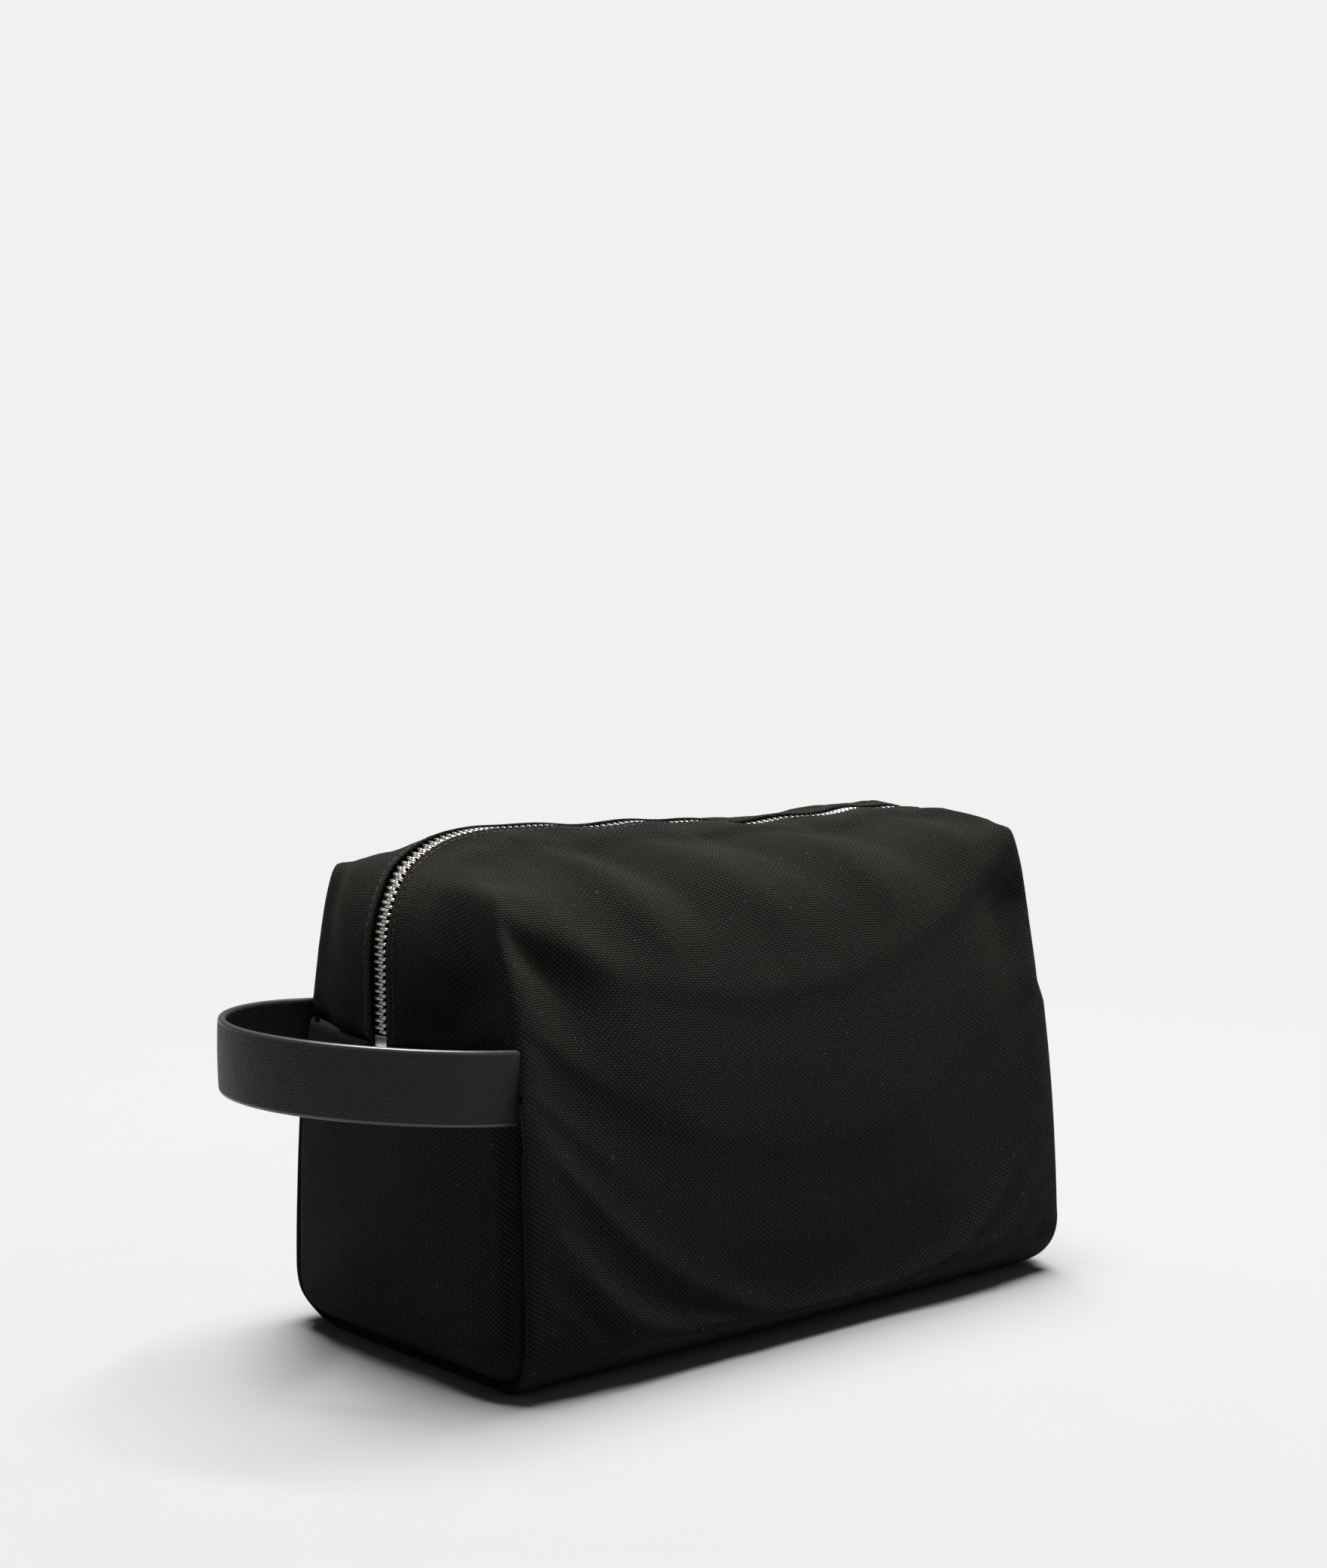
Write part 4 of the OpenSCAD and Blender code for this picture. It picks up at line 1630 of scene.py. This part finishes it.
@dataclass
class StrapHandle:
    """The leather strap that loops out from the near end's two seams."""

    shape: BodyShape
    finishes: Palette
    width: float = 0.0250
    thick: float = 0.0027
    root: float = 0.1225  # where the strap's ends lie in the seams

    SLOPE = 0.100  # how steeply the loop rises away from the bag

    def path(self) -> tuple[np.ndarray, np.ndarray]:
        """The loop's middle line in plan and the outward direction along it."""
        low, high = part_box("handle_strap_outer")
        middle, end = (low[2] + high[2]) / 2, -self.shape.crease_x
        front, back = (float(self.shape.wall_half(middle, side, end)) for side in (-1, 1))
        radius = (front + back) / 2 - 0.0043
        tip = -low[0] - self.thick / 2 - 0.0024
        centre = tip - radius
        leg = np.linspace(self.root, centre, 9)[:-1]
        turn = np.linspace(0, np.pi, 49)
        x = np.concatenate([leg, centre + radius * np.sin(turn), leg[::-1]])
        y = np.concatenate([np.full(8, -radius), -radius * np.cos(turn), np.full(8, radius)])
        y -= (front - back) / 2
        out_x = np.concatenate([np.zeros(8), np.sin(turn), np.zeros(8)])
        out_y = np.concatenate([np.full(8, -1.0), -np.cos(turn), np.full(8, 1.0)])
        return np.stack([-x, y], 1), np.stack([-out_x, out_y], 1)

    def build(self) -> None:
        """Makes the strap with its painted edges."""
        low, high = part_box("handle_strap_outer")
        middle = (low[2] + high[2]) / 2
        line, out = self.path()
        step = np.linalg.norm(np.diff(line, axis=0), axis=1)
        run = np.concatenate([[0.0], np.cumsum(step)])
        h, t = self.width / 2, self.thick / 2
        # round the section: up the outer face, over the edge, down the inner face
        face = np.array([-0.78, -0.4, 0.0, 0.4, 0.78]) * h
        upper = [(-h + 0.0010, t), (-h + 0.0004, t - 0.0003), (-h, t * 0.5)]
        edge = upper + [(z, -depth) for z, depth in upper[::-1]]
        other_edge = [(-z, -depth) for z, depth in edge]
        section = np.array([(z, t) for z in face[::-1]] + edge + [(z, -t) for z in face] + other_edge)
        bow = 0.0003 * np.cos(section[:, 0] / h * math.pi / 2)
        rings = []
        for k in range(len(line)):
            lift = self.SLOPE * (-line[k, 0] - self.root) - 0.0012 + 0.0005 * math.sin(run[k] * 38.0)
            x = line[k, 0] + out[k, 0] * (section[:, 1] + bow)
            y = line[k, 1] + out[k, 1] * (section[:, 1] + bow)
            rings.append(np.stack([x, y, middle + section[:, 0] + lift], 1))
        count = len(section)
        around = np.linalg.norm(section - np.roll(section, -1, axis=0), axis=1)
        start = np.concatenate([[0.0], np.cumsum(around)])
        faces, places, painted = [], [], []
        for ring in range(len(rings) - 1):
            for k in range(count):
                n = (k + 1) % count
                a, b = ring * count, (ring + 1) * count
                faces.append((a + k, b + k, b + n, a + n))
                v0, v1 = start[k], start[k + 1]
                places.append([(run[ring], v0), (run[ring + 1], v0), (run[ring + 1], v1), (run[ring], v1)])
                painted.append(5 <= k < 10 or 16 <= k < 21)
        strap = make_object("leather_strap", np.concatenate(rings), np.array(faces), np.array(places))
        turn_outwards(strap)
        mesh = strap.data
        mesh.materials.append(self.finishes.leather)
        mesh.materials.append(self.finishes.edge)
        mesh.polygons.foreach_set("material_index", np.array(painted, np.int32))
        self.cap(strap, [0, (len(rings) - 1) * count], count)
        finish_mesh(strap, subdivision(1))
        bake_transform(strap)
        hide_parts("handle_strap_outer", "handle_strap_inner", "handle_tab_front", "handle_tab_back")

    @staticmethod
    def cap(strap: Piece, firsts: list[int], count: int) -> None:
        """Closes the strap's two cut ends inside the seams.

        Args:
            strap: The strap.
            firsts: First point of each end's ring.
            count: Number of points in a ring.
        """
        work = bmesh.new()
        work.from_mesh(strap.data)
        work.verts.ensure_lookup_table()
        for first in firsts:
            work.faces.new([work.verts[first + k] for k in range(count)])
        bmesh.ops.recalc_face_normals(work, faces=work.faces)
        work.to_mesh(strap.data)
        work.free()


# ---- Studio ----


@dataclass
class Studio:
    """A plain pale floor with soft light and the camera."""

    lens: float = 70.3  # in millimetres, on a sensor 36 mm high
    heading: float = 40.70  # degrees from +Y towards +X
    dip: float = 6.92  # degrees below level
    paper: float = 0.880  # brightness of the paper behind the bag
    room: float = 0.12  # brightness of the room that lights it
    eye: Point = (-0.7159, -0.8189, 0.3191)

    def build(self) -> None:
        """Sets up the floor, the light and the camera."""
        self.floor()
        self.light()
        self.camera()

    def floor(self) -> None:
        """Lays the floor: lit paper round the bag, which passes into plain brightness further out."""
        n = Nodes("studio_paper")
        x, y, _ = n.split(n.place())
        far = n.math("SQRT", n.math("ADD", n.math("MULTIPLY", x, x), n.math("MULTIPLY", y, y)))
        ramp = n.math("MAXIMUM", n.math("MULTIPLY_ADD", far, 2.6, -0.75), 0.0)
        fade = n.math("SMOOTH_MIN", 1.0, ramp, 0.15)
        grain = n.noise(n.place(), 30.0, 3.0)
        paper = n.mix(grain, (0.250, 0.250, 0.250), (0.254, 0.254, 0.254))
        n.set(Base_Color=paper, Roughness=0.9, Specular_IOR_Level=0.0)
        glow = n.add("Emission")
        glow.inputs["Strength"].default_value = self.paper
        mix = n.add("MixShader")
        n.put(mix.inputs[0], fade)
        n.put(mix.inputs[1], n.shader.outputs[0])
        n.put(mix.inputs[2], glow.outputs[0])
        n.put(n.tree.nodes["Material Output"].inputs["Surface"], mix.outputs[0])
        size = 6.0
        corners = np.array([(-size, -size, 0), (size, -size, 0), (size, size, 0), (-size, size, 0)], float)
        floor = make_object("studio_floor", corners, np.array([(0, 1, 2, 3)]))
        floor.data.materials.append(n.material)

    def light(self) -> None:
        """Hangs a large soft lamp high behind the bag, and a weak one in front."""
        world = bpy.data.worlds.new("studio")
        bpy.context.scene.world = world
        world.use_nodes = True
        tree = world.node_tree
        seen = tree.nodes["Background"]
        seen.inputs["Color"].default_value = (1.0, 1.0, 1.0, 1.0)
        seen.inputs["Strength"].default_value = self.paper
        room = tree.nodes.new("ShaderNodeBackground")
        room.inputs["Strength"].default_value = self.room
        way = tree.nodes.new("ShaderNodeLightPath")
        mix = tree.nodes.new("ShaderNodeMixShader")
        tree.links.new(way.outputs["Is Camera Ray"], mix.inputs[0])
        tree.links.new(room.outputs[0], mix.inputs[1])
        tree.links.new(seen.outputs[0], mix.inputs[2])
        tree.links.new(mix.outputs[0], tree.nodes["World Output"].inputs["Surface"])
        for name, place, size, power in (
            ("overhead", (0.80, 0.50, 5.00), 3.2, 1000.0),
            ("front_fill", (0.70, -1.90, 1.20), 1.2, 2.0),
        ):
            lamp = bpy.data.lights.new(name, "AREA")
            lamp.size = size
            lamp.energy = power
            light = bpy.data.objects.new(name, lamp)
            light.location = place
            light.rotation_euler = (Vector((0, 0, 0.08)) - Vector(place)).to_track_quat("-Z", "Y").to_euler()
            bpy.context.scene.collection.objects.link(light)

    def camera(self) -> None:
        """Stands the camera at the near end's front corner."""
        data = bpy.data.cameras.new("camera")
        data.sensor_fit = "VERTICAL"
        data.sensor_height = 36.0
        data.lens = self.lens
        camera = bpy.data.objects.new("camera", data)
        camera.location = self.eye
        heading, dip = math.radians(self.heading), math.radians(self.dip)
        way = Vector((math.sin(heading) * math.cos(dip), math.cos(heading) * math.cos(dip), -math.sin(dip)))
        camera.rotation_euler = way.to_track_quat("-Z", "Y").to_euler()
        bpy.context.scene.collection.objects.link(camera)
        bpy.context.scene.camera = camera


def main() -> None:
    """Builds the bag and its studio."""
    logging.basicConfig(level=logging.INFO)
    bpy.context.scene.view_settings.view_transform = "Standard"
    finishes = Palette()
    shape = BodyShape()
    front = CanvasSide(shape, Side.FRONT, FRONT_FOLDS)
    back = CanvasSide(shape, Side.BACK, BACK_FOLDS)
    for canvas in (front, back):
        canvas.build(finishes)
    for end in End:
        EndPanel(shape, end).build(finishes)
    ZipFastener(shape, finishes).build([front, back])
    StrapHandle(shape, finishes).build()
    Studio().build()


if __name__ == "__main__":
    main()
